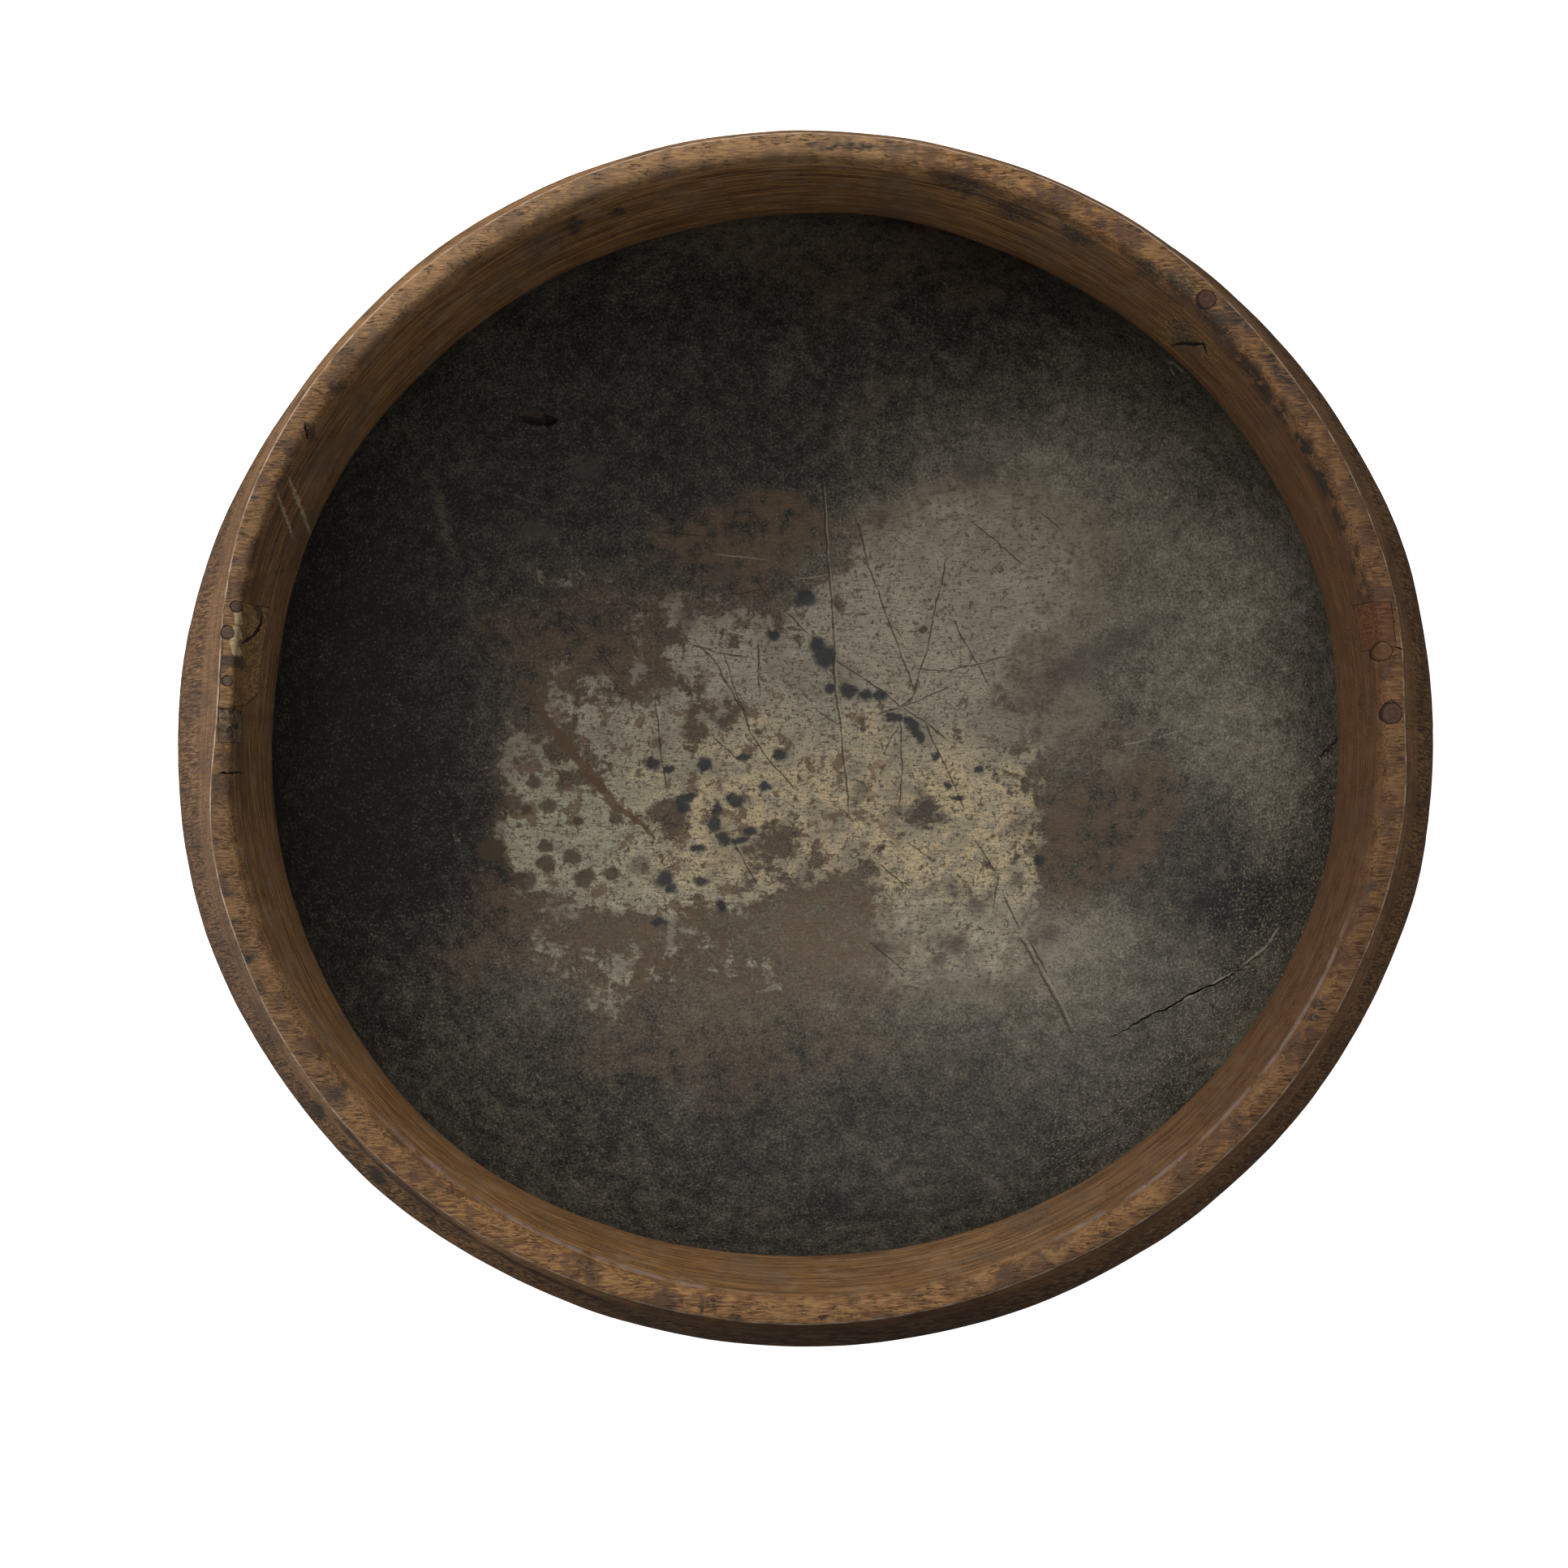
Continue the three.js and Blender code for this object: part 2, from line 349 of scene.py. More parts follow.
def prism(name, points, low, high):
    """An upright block over an outline on the plan."""
    if not anticlockwise(points):
        points = points[::-1]
    n = len(points)
    verts = [(x * MM, y * MM, z * MM) for z in (low, high) for x, y in points]
    faces = [tuple(range(n))[::-1], tuple(range(n, 2 * n))]
    faces += [(i, (i + 1) % n, n + (i + 1) % n, n + i) for i in range(n)]
    mesh = bpy.data.meshes.new(name)
    mesh.from_pydata(verts, [], faces)
    set_zones(mesh, [JOINT] * len(faces))
    return new_object(name, mesh)


def carve(target, tool, operation):
    modifier = target.modifiers.new("carve", "BOOLEAN")
    modifier.operation = operation
    modifier.solver = "MANIFOLD"
    modifier.object = tool
    mesh = bpy.data.meshes.new_from_object(target.evaluated_get(bpy.context.evaluated_depsgraph_get()))
    target.modifiers.clear()
    target.data = mesh


def peg_outline(x, y, radius, seed):
    """A whittled pin is never quite round."""
    angle = np.linspace(0, 2 * np.pi, 40, endpoint=False)
    radii = [radius * (1 + 0.07 * mnoise.noise(Vector((math.cos(a), math.sin(a), seed)))) for a in angle]
    return np.column_stack([x + radii * np.cos(angle), y + radii * np.sin(angle)])


def copy_of(thing, name):
    return new_object(name, thing.data.copy())


# Open cracks cut into the wood: half width and depth in mm, then the points that each passes through.
CRACKS = {
    "bowl_body": [
        (0.40, 2.0, (121, -120), (129, -117), (139, -111), (148, -107), (154, -103), (163, -99), (172, -95),
         (180, -89), (187, -84)),
        (2.10, 4.5, (-118, 136.4), (-112, 135.2), (-106, 136.0), (-102, 137.2)),
        (0.42, 2.0, (146, 153.6), (150, 153.4), (154, 152.2), (157.6, 151.2), (159.6, 147.6)),
        (0.45, 2.0, (-229, -19.7), (-225, -19.9), (-220, -18.4)),
        (0.35, 1.5, (-196, 119), (-195, 112)),
        (0.40, 1.5, (229.4, 28.4), (232, 28.8), (233.6, 28.6)),
    ],
    "left_rim_patch": [
        (0.40, 2.0, (-214, 45), (-214.6, 41), (-217, 36), (-221, 31)),
        (0.35, 1.5, (-212, 24), (-212.6, 20), (-214, 15)),
    ],
}
# Along each crack: the mesh's step, how far it wanders, and how far its wedge stands above the wood.
CRACK_STEP = 1.4
CRACK_WANDER = 0.8
CRACK_CLEARANCE = 2.0


def wedge(half_width, depth, points, surface):
    """A thin, wandering wedge along a line on the plan, sharp at both ends, for cutting a crack."""
    path = [np.array(points[0], float)]
    for a, b in zip(points, points[1:]):
        a, b = np.array(a, float), np.array(b, float)
        count = max(1, round(np.linalg.norm(b - a) / CRACK_STEP))
        path += [a + (b - a) * n / count for n in range(1, count + 1)]
    verts, faces = [], []
    for i, place in enumerate(path):
        ahead = path[min(i + 1, len(path) - 1)] - path[max(i - 1, 0)]
        side = np.array([-ahead[1], ahead[0]]) / np.linalg.norm(ahead)
        wander = mnoise.noise(Vector((place[0] * 0.4, place[1] * 0.4, 3.0)))
        x, y = place + side * wander * CRACK_WANDER
        swell = 0.15 + 0.85 * math.sin(math.pi * i / (len(path) - 1)) ** 0.5
        swell *= 1 + 0.6 * mnoise.noise(Vector((x * 0.5, y * 0.5, 6.0)))
        top = surface.ray_cast(Vector((x, y, HEIGHT + 9)) * MM, Vector((0, 0, -1)))[0].z / MM
        out = side * half_width * swell * (1 + CRACK_CLEARANCE / depth)
        above = top + CRACK_CLEARANCE
        verts += [(x + out[0], y + out[1], above), (x - out[0], y - out[1], above),
                  (x, y, top - depth * swell)]
        if i:
            n = 3 * i
            faces += [(n - 3 + k, n - 3 + (k + 1) % 3, n + (k + 1) % 3, n + k) for k in range(3)]
    faces += [(0, 1, 2), (n, n + 2, n + 1)]
    mesh = bpy.data.meshes.new("wedge")
    mesh.from_pydata([tuple(v * MM for v in vert) for vert in verts], [], faces)
    shell = bmesh.new()
    shell.from_mesh(mesh)
    bmesh.ops.recalc_face_normals(shell, faces=shell.faces)
    shell.to_mesh(mesh)
    shell.free()
    set_zones(mesh, [JOINT] * len(faces))
    return new_object("wedge", mesh)


def make_pieces():
    whole, tree, arcs = make_whole()
    surface = BVHTree.FromObject(whole, bpy.context.evaluated_depsgraph_get())
    tools = []
    pieces = {}
    for seed, (name, (depth, raggedness, outline)) in enumerate(PATCHES.items()):
        edge = jagged(outline, KNIFE_STEP, raggedness, seed * 3.7)
        low = HEIGHT - depth
        pieces[name] = copy_of(whole, name)
        carve(pieces[name], prism("tool", edge, low, CUT_TOP), "INTERSECT")
        tools.append(prism("tool", grown(edge, JOINT_GAP), low - JOINT_GAP, CUT_TOP))
    body = copy_of(whole, "carved_bowl")
    for tool in tools:
        carve(body, tool, "DIFFERENCE")
    for seed, (name, (x, y, radius, length, _)) in enumerate(PEGS.items()):
        edge = peg_outline(x, y, radius, seed * 5.1)
        low = HEIGHT - length
        pieces[name] = copy_of(whole, name)
        carve(pieces[name], prism("tool", edge, low, CUT_TOP), "INTERSECT")
        hole = prism("hole", grown(edge, JOINT_GAP), low - JOINT_GAP, CUT_TOP)
        for other, (_, _, outline) in PATCHES.items():
            if np.linalg.norm(np.mean(outline, axis=0) - (x, y)) < PEG_REACH:
                carve(pieces[other], hole, "DIFFERENCE")
        carve(body, hole, "DIFFERENCE")
        bpy.data.objects.remove(hole)
    for thing in [o for o in bpy.data.objects if o.name.startswith("tool")] + [whole]:
        bpy.data.objects.remove(thing)
    pieces["bowl_body"] = body
    for name, cracks in CRACKS.items():
        for half_width, depth, *points in cracks:
            cut = wedge(half_width, depth, points, surface)
            carve(pieces[name], cut, "DIFFERENCE")
            bpy.data.objects.remove(cut)
    for piece in pieces.values():
        finish_mesh(piece.data, tree, arcs)
    return pieces


# Edges that turn further than this stay sharp, in degrees.
SHARP_ANGLE = 50


def finish_mesh(mesh, tree, arcs):
    """Gives a piece its smooth shading and the fields that its materials read."""
    count = len(mesh.vertices)
    points = np.empty(count * 3)
    mesh.vertices.foreach_get("co", points)
    points = points.reshape(-1, 3)
    arc = np.array([arcs[tree.find(p)[1]] for p in points])
    plan = points[:, :2] / MM
    strayed = plan + stray(plan)
    film = plateaus(strayed, SILVER) * (1 - plateaus(plan, BROWN_PATCHES))
    fields = {"arc": arc, "tone": hills(plan, TONE), "brown": plateaus(strayed, BROWN), "silver": film}
    for name, values in fields.items():
        mesh.attributes.new(name, "FLOAT", "POINT").data.foreach_set("value", np.asarray(values, np.float32))
    slots = np.empty(len(mesh.polygons), np.int32)
    mesh.polygons.foreach_get("material_index", slots)
    mesh.polygons.foreach_set("use_smooth", slots != JOINT)
    mesh.set_sharp_from_angle(angle=math.radians(SHARP_ANGLE))
    mesh.update()


# ---- patina of the basin: soft fields as (x, y, half length, half width, amount, turn unless it is 0)

TONE = [
    (-194, 0, 36, 150, -0.27), (-162, -25, 26, 60, -0.18), (-120, 125, 50, 46, -0.04, -40),
    (-10, 118, 90, 30, -0.1), (20, 0, 110, 95, 0.28), (72, 80, 60, 52, 0.78, 20), (120, 105, 60, 50, 0.18),
    (176, 62, 30, 40, 0.42), (178, 0, 28, 30, 0.4), (130, 20, 60, 50, 0.2), (150, -55, 38, 24, -0.1),
    (0, -92, 150, 42, 0.36), (125, -112, 60, 38, 0.18, 30), (0, 206, 90, 12, 0.24),
    (-100, -5, 40, 60, 0.16), (130, 160, 60, 30, 0.1, -45), (-40, -70, 90, 22, 0.18),
    (60, -84, 60, 26, 0.25), (176, -66, 16, 14, -0.34), (112, -74, 24, 16, 0.34, 20),
    (192, -30, 10, 22, 0.26), (-128, -36, 22, 30, -0.22), (-150, -70, 40, 30, -0.1),
]
SILVER = [
    (-100, -34, 34, 32, 0.97, 14), (-60, -40, 54, 34, 0.97), (-74, 8, 56, 30, 0.86),
    (-20, 18, 60, 44, 0.92), (16, -8, 56, 50, 0.95), (70, -24, 36, 44, 0.97, 14), (40, 50, 60, 46, 0.88),
    (78, 70, 54, 46, 0.66, 20), (54, -72, 52, 32, 0.86, -18), (-50, -82, 76, 20, 0.6, 4),
    (-80, 66, 54, 36, 0.4), (112, 10, 30, 30, 0.4),
]
BROWN_PATCHES = [
    (-58, -26, 10, 9, 0.6), (-14, -36, 14, 8, 0.55, 20), (-78, -74, 28, 8, 0.72, -4),
    (-41, -69, 14, 6, 0.5, 10), (4, -72, 22, 14, 0.85), (22, -54, 13, 8, 0.55, 40), (12, -84, 20, 9, 0.62),
    (-47, 12, 8, 12, 0.48), (-34, 20, 9, 9, 0.42), (-18, 84, 38, 18, 0.9), (-98, 0, 10, 22, 0.35, 40),
    (48, -24, 9, 9, 0.45, 20), (-66, 30, 20, 9, 0.45, 10), (116, -34, 18, 28, 0.8, 10),
    (-134, -30, 10, 20, 0.5), (-84, 44, 20, 10, 0.4, -20),
]
BROWN = [
    (118, -32, 34, 28, 1.0), (-20, -76, 130, 24, 0.9), (-60, 24, 66, 36, 0.8), (-20, 87, 46, 20, 1.0),
    (-60, -20, 66, 46, 0.8), (-10, -5, 60, 40, 0.6), (-30, -125, 90, 30, 0.5), (20, 200, 90, 16, 0.5),
    (-100, 50, 40, 30, 0.5), (20, 155, 70, 14, 0.3),
]

# Blue-black spots left in the basin, as (x, y, half length, half width, turn unless it is 0).
SPOTS = [
    (0, 66, 3.7, 3.2), (-13, 50, 2, 1.8), (5, 46, 3.2, 2.8), (8, 41, 4.2, 4.8, 20), (-11, 0, 2.7, 2.3),
    (-26, -1, 2.4, 1.4), (-42, -4, 2.7, 2.4), (-64, -4, 3, 2.5), (-57, -6, 1.7, 1.4),
    (-50, -18, 4.4, 2, 25), (-51, -22, 2.6, 2), (-29, -19, 3.7, 2.8), (-17, -13, 2.4, 1.7, 20),
    (-37, -23, 1.8, 3.2), (-38, -29, 2, 3.2, 10), (-34, -35, 3, 2.4, -40), (-28, -36, 3.4, 1.8, 15),
    (-23, -32, 2.4, 1.6, 30), (-45, -39, 3, 1.7), (-59, -52, 3.6, 3, 30), (-56, -56, 2.6, 2),
    (-44, -53, 3, 1.7), (-35, -63, 1.7, 2.7), (-61, -70, 3, 1.7), (18, 27, 3.6, 2.6, -10), (25, 25, 3, 2.2),
    (31, 25, 2.7, 2), (10, 28, 2, 1.6), (37, 16, 3.7, 1.6, -10), (44, 13, 4, 1.9, -50),
    (47, 8, 3.4, 1.9, -60), (54, -1, 1.4, 2), (72, -6, 1.7, 1.4), (59, -13, 1.7, 1.5), (63, -18, 2.7, 1),
    (97, -45, 2.4, 2),
]
BROWN_SPOTS = [
    (-122, -21, 4.1, 3.4), (-107, -22, 3.4, 3), (-113, -12, 2.7, 2.3), (-108, -39, 3, 2),
    (-108, -46, 3.4, 2.8), (-97, -43, 3.4, 3), (-92, -52, 4.4, 3.4, 20), (-116, -24, 2, 1.7),
    (-116, -53, 4.1, 3), (-95, -28, 2, 1.7), (-79, -27, 2.7, 2.2), (-81, -50, 3, 2.4),
    (-130, -41, 5.4, 4.4), (-110, 138.4, 8, 1.0, -3), (49, 52, 1.4, 1.8), (193, 9, 1.5, 1.3),
]
SMUDGES = [
    (-50, 57, 5, 4), (-53, 51, 4, 3), (-34, 76, 5, 4), (-34, 14, 4, 3.4), (32, 99, 5, 3, 30),
    (-70, -46, 4, 3), (24, -15, 4.4, 4), (49, -21, 3.4, 7, 10), (46, -27, 5, 4.4), (57, -26, 4, 3),
    (38, -24, 4, 3), (88, -31, 5, 4.4), (88, -53, 4, 3.4), (53, -56, 4, 3.4), (61, -56, 4, 5),
    (71, -64, 5, 3.4), (60, -79, 6, 5), (55, -86, 3.4, 3), (101, -75, 4, 3.4), (33, -81, 4, 3),
    (-61, -102, 2, 1.7), (-90, 118, 7, 5, 20), (-112, 92, 8, 5), (120, 40, 30, 6, 28), (70, 118, 8, 5),
]

# Lines cut or scraped into the basin: half width, then the points that each passes through.
SCRATCHES = [
    (0.4, (7, 112), (9, 82), (11, 64), (12, 43), (12, 29), (15, 8), (16, -5), (18, -23)),
    (0.36, (21, 99), (26, 80), (30, 69), (34, 57), (39, 44), (45, 28)),
    (0.36, (59, 82), (56, 69), (53, 56), (51, 44), (47, 33), (45, 24), (40, 20), (30, 17)),
    (0.32, (40, 20), (48, 23), (59, 28)), (0.29, (69, 97), (80, 88), (90, 79)),
    (0.32, (62, 55), (68, 44), (72, 37), (76, 29)),
    (0.36, (12, 40), (24, 32), (33, 26), (40, 20), (51, 13), (59, 6)),
    (0.36, (39, 14), (40, 4), (40, -9), (39, -21)), (0.29, (38, 11), (35, 5), (33, 1)),
    (0.36, (50, 13), (54, 4), (59, -7), (63, -16), (66, -23)),
    (0.25, (46, 36), (59, 35), (75, 38), (85, 41)), (0.29, (98, 100), (105, 93)),
    (0.29, (-22, 74), (-15, 65)), (0.29, (-30, 67), (-19, 69)), (0.32, (-9, 61), (2, 50)),
    (0.32, (-64, 93), (-44, 91)),
    (0.36, (-45, 46), (-38, 39), (-31, 27), (-26, 18), (-23, 9), (-17, 0), (-10, -8), (-5, -14)),
    (0.29, (-47, 46), (-38, 43), (-23, 41)), (0.29, (-34, 42), (-31, 32), (-29, 26), (-25, 17)),
    (0.29, (-20, 47), (-20, 34), (-19, 26)), (0.29, (6, 18), (13, 13)), (0.29, (-105, 62), (-94, 51)),
    (0.29, (-88, 45), (-78, 33)), (0.32, (-63, 22), (-61, 8), (-60, -3), (-58, -14)),
    (0.29, (-39, 8), (-30, 0)), (0.32, (-30, -37), (-26, -43), (-20, -55)), (0.29, (43, -37), (52, -44)),
    (0.32, (31, -46), (43, -57)), (0.29, (27, -79), (41, -91)), (0.32, (71, -37), (80, -51), (78, -64)),
    (0.58, (89, -78), (96, -90), (104, -106), (108, -115)), (0.43, (93, -80), (99, -91)),
    (0.36, (82, -59), (88, -73)),
]
PALE_LINES = [
    (0.3, (66, 44), (80, 50), (89, 52), (104, 56), (109, 58)),
    (0.3, (129, 2), (144, 5), (158, 9), (166, 10)), (0.3, (-6, 73), (9, 75)),
    (0.35, (7.8, 112), (9.8, 82), (11.8, 64), (12.8, 43), (12.8, 29), (15.8, 8), (16.8, -5), (18.8, -23)),
    (0.4, (90.2, -77), (97.2, -89), (105.2, -105), (109.2, -114)), (0.3, (-38, 84), (-18, 82)),
    (0.3, (16, 60), (34, 52)), (0.5, (147, 152.5), (150, 151), (153, 148)), (0.4, (148, 150.5), (150, 148)),
    (0.5, (150, -106), (163, -99), (176, -92), (187, -82), (191, -76)),
]
# Faint wiped smears.
SMEARS = [
    (120, 62, 26, 2.4, -28), (124, 56, 30, 2.0, 31), (140, 70, 22, 1.8, 40), (108, 48, 24, 1.6, 16),
    (150, 92, 12, 2.0, 55), (-150, 96, 3, 20, 12), (140, 10, 22, 1.6, 8),
]
BROWN_GROOVE = [
    (1.2, (-116, 28), (-106, 12)), (2.2, (-107, 13), (-95, -2), (-86, -13), (-79, -22)),
    (1.2, (-80, -21), (-68, -29), (-64, -34)),
]
BASIN_CRACKS = [(0.6, (215, 0), (212, -3), (209, -6))]

# Marks on the rim, collar and wall.
RIM_STAINS = [
    (-225, -67, 4, 2.5), (-222, -78, 3, 2), (-217, -91, 4, 3), (-181, -146, 5, 3.4, -40),
    (220, -65, 2.6, 2), (199, -110, 3, 2.2, -60), (-195, 115, 2, 4, 30), (-184, 133, 3, 2, 40),
    (-217, 89, 2.4, 2), (-91, 199, 4, 2.4, 20), (-74, 205, 3, 2), (-40, -226, 0.7, 4.4),
    (-34, -226, 0.7, 3.4), (62, 214, 14, 3, -16), (84, 204, 10, 3, -20), (108, 194, 9, 2.6, -30),
    (20, 228, 20, 1.6), (197, -116, 3.4, 0.9, -20), (170, 160, 10, 2.8, -48), (186, 138, 12, 2.4, -54),
    (162, 158, 12, 4, -45), (148, 172, 8, 4, -45), (150, 156, 7, 3, -50), (135, 180, 8, 3, -40),
]
WALL_STAINS = [(-190, -151, 4.5, 3.4, -40), (-167, -176, 5.5, 3.4, -40), (-242, 65, 2.4, 4.4)]
PATCH_STAINS = [
    (-215, 46, 1.4, 4, 10), (-211, 22, 1, 5), (-224.5, 24.5, 6, 3), (214, 47, 3, 1), (229, 8, 3, 1, 10),
]
LICHEN = [
    (146, 158, 9, 5, -40), (16, -229, 5, 2.4), (44, -224, 6, 2.6, 10), (63, -220, 5, 3, 14),
    (230, -39, 3, 3), (231, -5, 2.6, 3.4), (160, 150, 6, 3, -50), (150, 176, 8, 4, -45),
]
RIM_CRACKS = [(0.35, (226, 6.6), (229, 8.0), (231, 6.4))]
PALE_MARKS = [
    (-221.8, 42, 1.4, 3.4, 8), (-222.6, 34, 1.6, 4.2, -8), (-222.4, 28.4, 1.6, 2), (-201, 92, 0.8, 6, 18),
    (-199, 86, 0.7, 7, 14), (-205, 84, 0.5, 8, 16), (149, 143, 1.6, 0.9),
]


def soft_ellipses(plan, table):
    """How deep each place on the plan lies in each of a table's soft ellipses, and their amounts."""
    depths = []
    for x, y, half_length, half_width, _, *turn in table:
        angle = math.radians(sum(turn))
        c, s = math.cos(angle), math.sin(angle)
        dx, dy = plan[:, 0] - x, plan[:, 1] - y
        u, v = (dx * c + dy * s) / half_length, (dy * c - dx * s) / half_width
        depths.append(u * u + v * v)
    return np.array(depths), np.array([row[4] for row in table])[:, None]


# Broad and small wandering of the film's edges, in mm.
BROAD_STRAY, SMALL_STRAY = 26, 9


def stray(plan):
    """How far the edges of the film and of the brown patches wander, in mm."""
    push = np.zeros_like(plan)
    for i, (x, y) in enumerate(plan):
        broad = mnoise.noise_vector(Vector((x * 0.022, y * 0.022, 4.0)))
        small = mnoise.noise_vector(Vector((x * 0.07, y * 0.07, 8.0)))
        push[i] = [BROAD_STRAY * broad[k] + SMALL_STRAY * small[k] for k in (0, 1)]
    return push


def hills(plan, table):
    """Soft ellipses added up."""
    depths, amounts = soft_ellipses(plan, table)
    return (amounts * np.exp(-depths)).sum(0)


def plateaus(plan, table):
    """Flat-topped soft ellipses laid over one another, never more than 1."""
    depths, amounts = soft_ellipses(plan, table)
    return 1 - (1 - amounts * np.exp(-depths ** 2)).prod(0)


# ---- materials

# The ring that turned grain follows, in mm, and how softly a sector ends, in degrees.
TURNED_RADIUS = 230
SECTOR_FADE = 8
# Each stretch of a line is an ellipse: this share of its length to each side, and this much more in mm.
LINK_SHARE, LINK_EXTRA = 0.62, 0.5


class Shader:
    """Adds shader nodes by value: each method returns the output that the next one takes."""

    def __init__(self, name):
        self.material = bpy.data.materials.new(name)
        self.material.use_nodes = True
        self.tree = self.material.node_tree
        self.surface = self.tree.nodes["Principled BSDF"]
        coords = self.node("ShaderNodeTexCoord", {}).outputs["Object"]
        self.place = self.vector("SCALE", coords, scale=1 / MM)
        self.plan = self.vector("MULTIPLY", self.place, (1, 1, 0))
        self.outward = self.vector("NORMALIZE", self.plan)
        self.arc = self.field("arc")
        self.x, self.y = self.node("ShaderNodeSeparateXYZ", {0: self.place}).outputs[:2]

    def node(self, kind, inputs, **settings):
        node = self.tree.nodes.new(kind)
        for key, value in settings.items():
            setattr(node, key, value)
        for key, value in inputs.items():
            socket = node.inputs[key]
            if isinstance(value, bpy.types.NodeSocket):
                self.tree.links.new(value, socket)
            elif socket.type == "RGBA":
                socket.default_value = (*value, 1)
            else:
                socket.default_value = value
        return node

    def math(self, operation, *values, clamp=False):
        node = self.node("ShaderNodeMath", dict(enumerate(values)), operation=operation, use_clamp=clamp)
        return node.outputs[0]

    def vector(self, operation, *values, scale=None):
        node = self.node("ShaderNodeVectorMath", dict(enumerate(values)), operation=operation)
        if scale is not None:
            node.inputs["Scale"].default_value = scale
        return node.outputs["Value" if operation in ("LENGTH", "DOT_PRODUCT") else "Vector"]

    def field(self, name):
        return self.node("ShaderNodeAttribute", {}, attribute_name=name).outputs["Fac"]

    def noise(self, where, scale=1.0, detail=3.0, rough=0.55, colour=False):
        inputs = {"Vector": where, "Scale": scale, "Detail": detail, "Roughness": rough}
        node = self.node("ShaderNodeTexNoise", inputs)
        return node.outputs["Color" if colour else "Fac"]

    def step(self, value, low, high, start=0.0, end=1.0):
        node = self.node("ShaderNodeMapRange", {0: value, 1: low, 2: high, 3: start, 4: end},
                         interpolation_type="SMOOTHSTEP")
        return node.outputs[0]

    def mix(self, amount, first, second):
        node = self.node("ShaderNodeMix", {0: amount, 6: first, 7: second}, data_type="RGBA")
        return node.outputs[2]

    def times(self, first, *others):
        for other in others:
            first = self.math("MULTIPLY", first, other)
        return first

    def plus(self, first, second):
        return self.math("ADD", first, second)

    def over(self, base, colour, *masks):
        """Lays a colour over the base, as strongly as the masks' product."""
        return self.mix(self.times(*masks), base, colour)

    def swing(self, noise, amount):
        """Turns a noise about 0.5 into one about 0, of the given strength."""
        return self.times(self.math("SUBTRACT", noise, 0.5), amount)

    def grain(self, x, y, z, detail=3.0, rough=0.55):
        return self.noise(self.vector("MULTIPLY", self.place, (x, y, z)), 1.0, detail, rough)

    def turning(self, around, across, detail=3.0, rough=0.55):
        """Noise drawn out round the bowl, as turning leaves it."""
        ring = self.vector("SCALE", self.outward, scale=TURNED_RADIUS * around)
        lift = self.node("ShaderNodeCombineXYZ", {"Z": self.times(self.arc, across)}).outputs[0]
        return self.noise(self.vector("ADD", ring, lift), 1.0, detail, rough)

    def marks(self, table, scale, amount, far, near, draw=None):
        """A table's marks, shaken out of true, and fading between two distances."""
        return self.step((draw or self.ellipses)(self.shaken(scale, amount), table), far, near)

    def shaken(self, scale, amount, detail=2.0):
        """The plan, shaken by noise, so that marks drawn on it get natural edges."""
        push = self.vector("SUBTRACT", self.noise(self.place, scale, detail, colour=True), (0.5, 0.5, 0.5))
        return self.vector("ADD", self.plan, self.vector("MULTIPLY", push, (amount, amount, 0)))

    def ellipses(self, where, table):
        """Distance to the nearest ellipse: 0 at its middle, 1 at its edge, and no more than 2."""
        deepest = None
        for x, y, half_length, half_width, *turn in table:
            lie = {"Vector": where, "Location": (x, y, 0), "Rotation": (0, 0, math.radians(sum(turn))),
                   "Scale": (2 * half_length, 2 * half_width, 1)}
            at = self.node("ShaderNodeMapping", lie, vector_type="TEXTURE").outputs[0]
            ball = self.node("ShaderNodeTexGradient", {"Vector": at}, gradient_type="SPHERICAL")
            here = ball.outputs["Fac"]
            deepest = here if deepest is None else self.math("MAXIMUM", deepest, here)
        return self.math("MULTIPLY_ADD", deepest, -2.0, 2.0)

    def lines(self, where, table):
        """Distance to the nearest line of a table, 1 at its edge. A line is a chain of thin ellipses."""
        chain = []
        for half_width, *points in table:
            for (x0, y0), (x1, y1) in zip(points, points[1:]):
                half = math.hypot(x1 - x0, y1 - y0) * LINK_SHARE + LINK_EXTRA
                turn = math.degrees(math.atan2(y1 - y0, x1 - x0))
                chain.append(((x0 + x1) / 2, (y0 + y1) / 2, half, half_width, turn))
        return self.ellipses(where, chain)

    def sector(self, angle, half):
        """1 within a sector of the bowl, fading out over a few degrees."""
        toward = (math.cos(math.radians(angle)), math.sin(math.radians(angle)), 0)
        along = self.vector("DOT_PRODUCT", self.outward, toward)
        return self.step(along, math.cos(math.radians(half + SECTOR_FADE)), math.cos(math.radians(half)))

    def finish(self, colour, rough, height, depth, sheen=0.3):
        self.surface.inputs["Specular IOR Level"].default_value = sheen
        bump = self.node("ShaderNodeBump", {"Height": height, "Distance": depth * MM, "Strength": 1.0})
        for key, value in (("Base Color", colour), ("Roughness", rough), ("Normal", bump.outputs[0])):
            self.tree.links.new(value, self.surface.inputs[key])
        return self.material


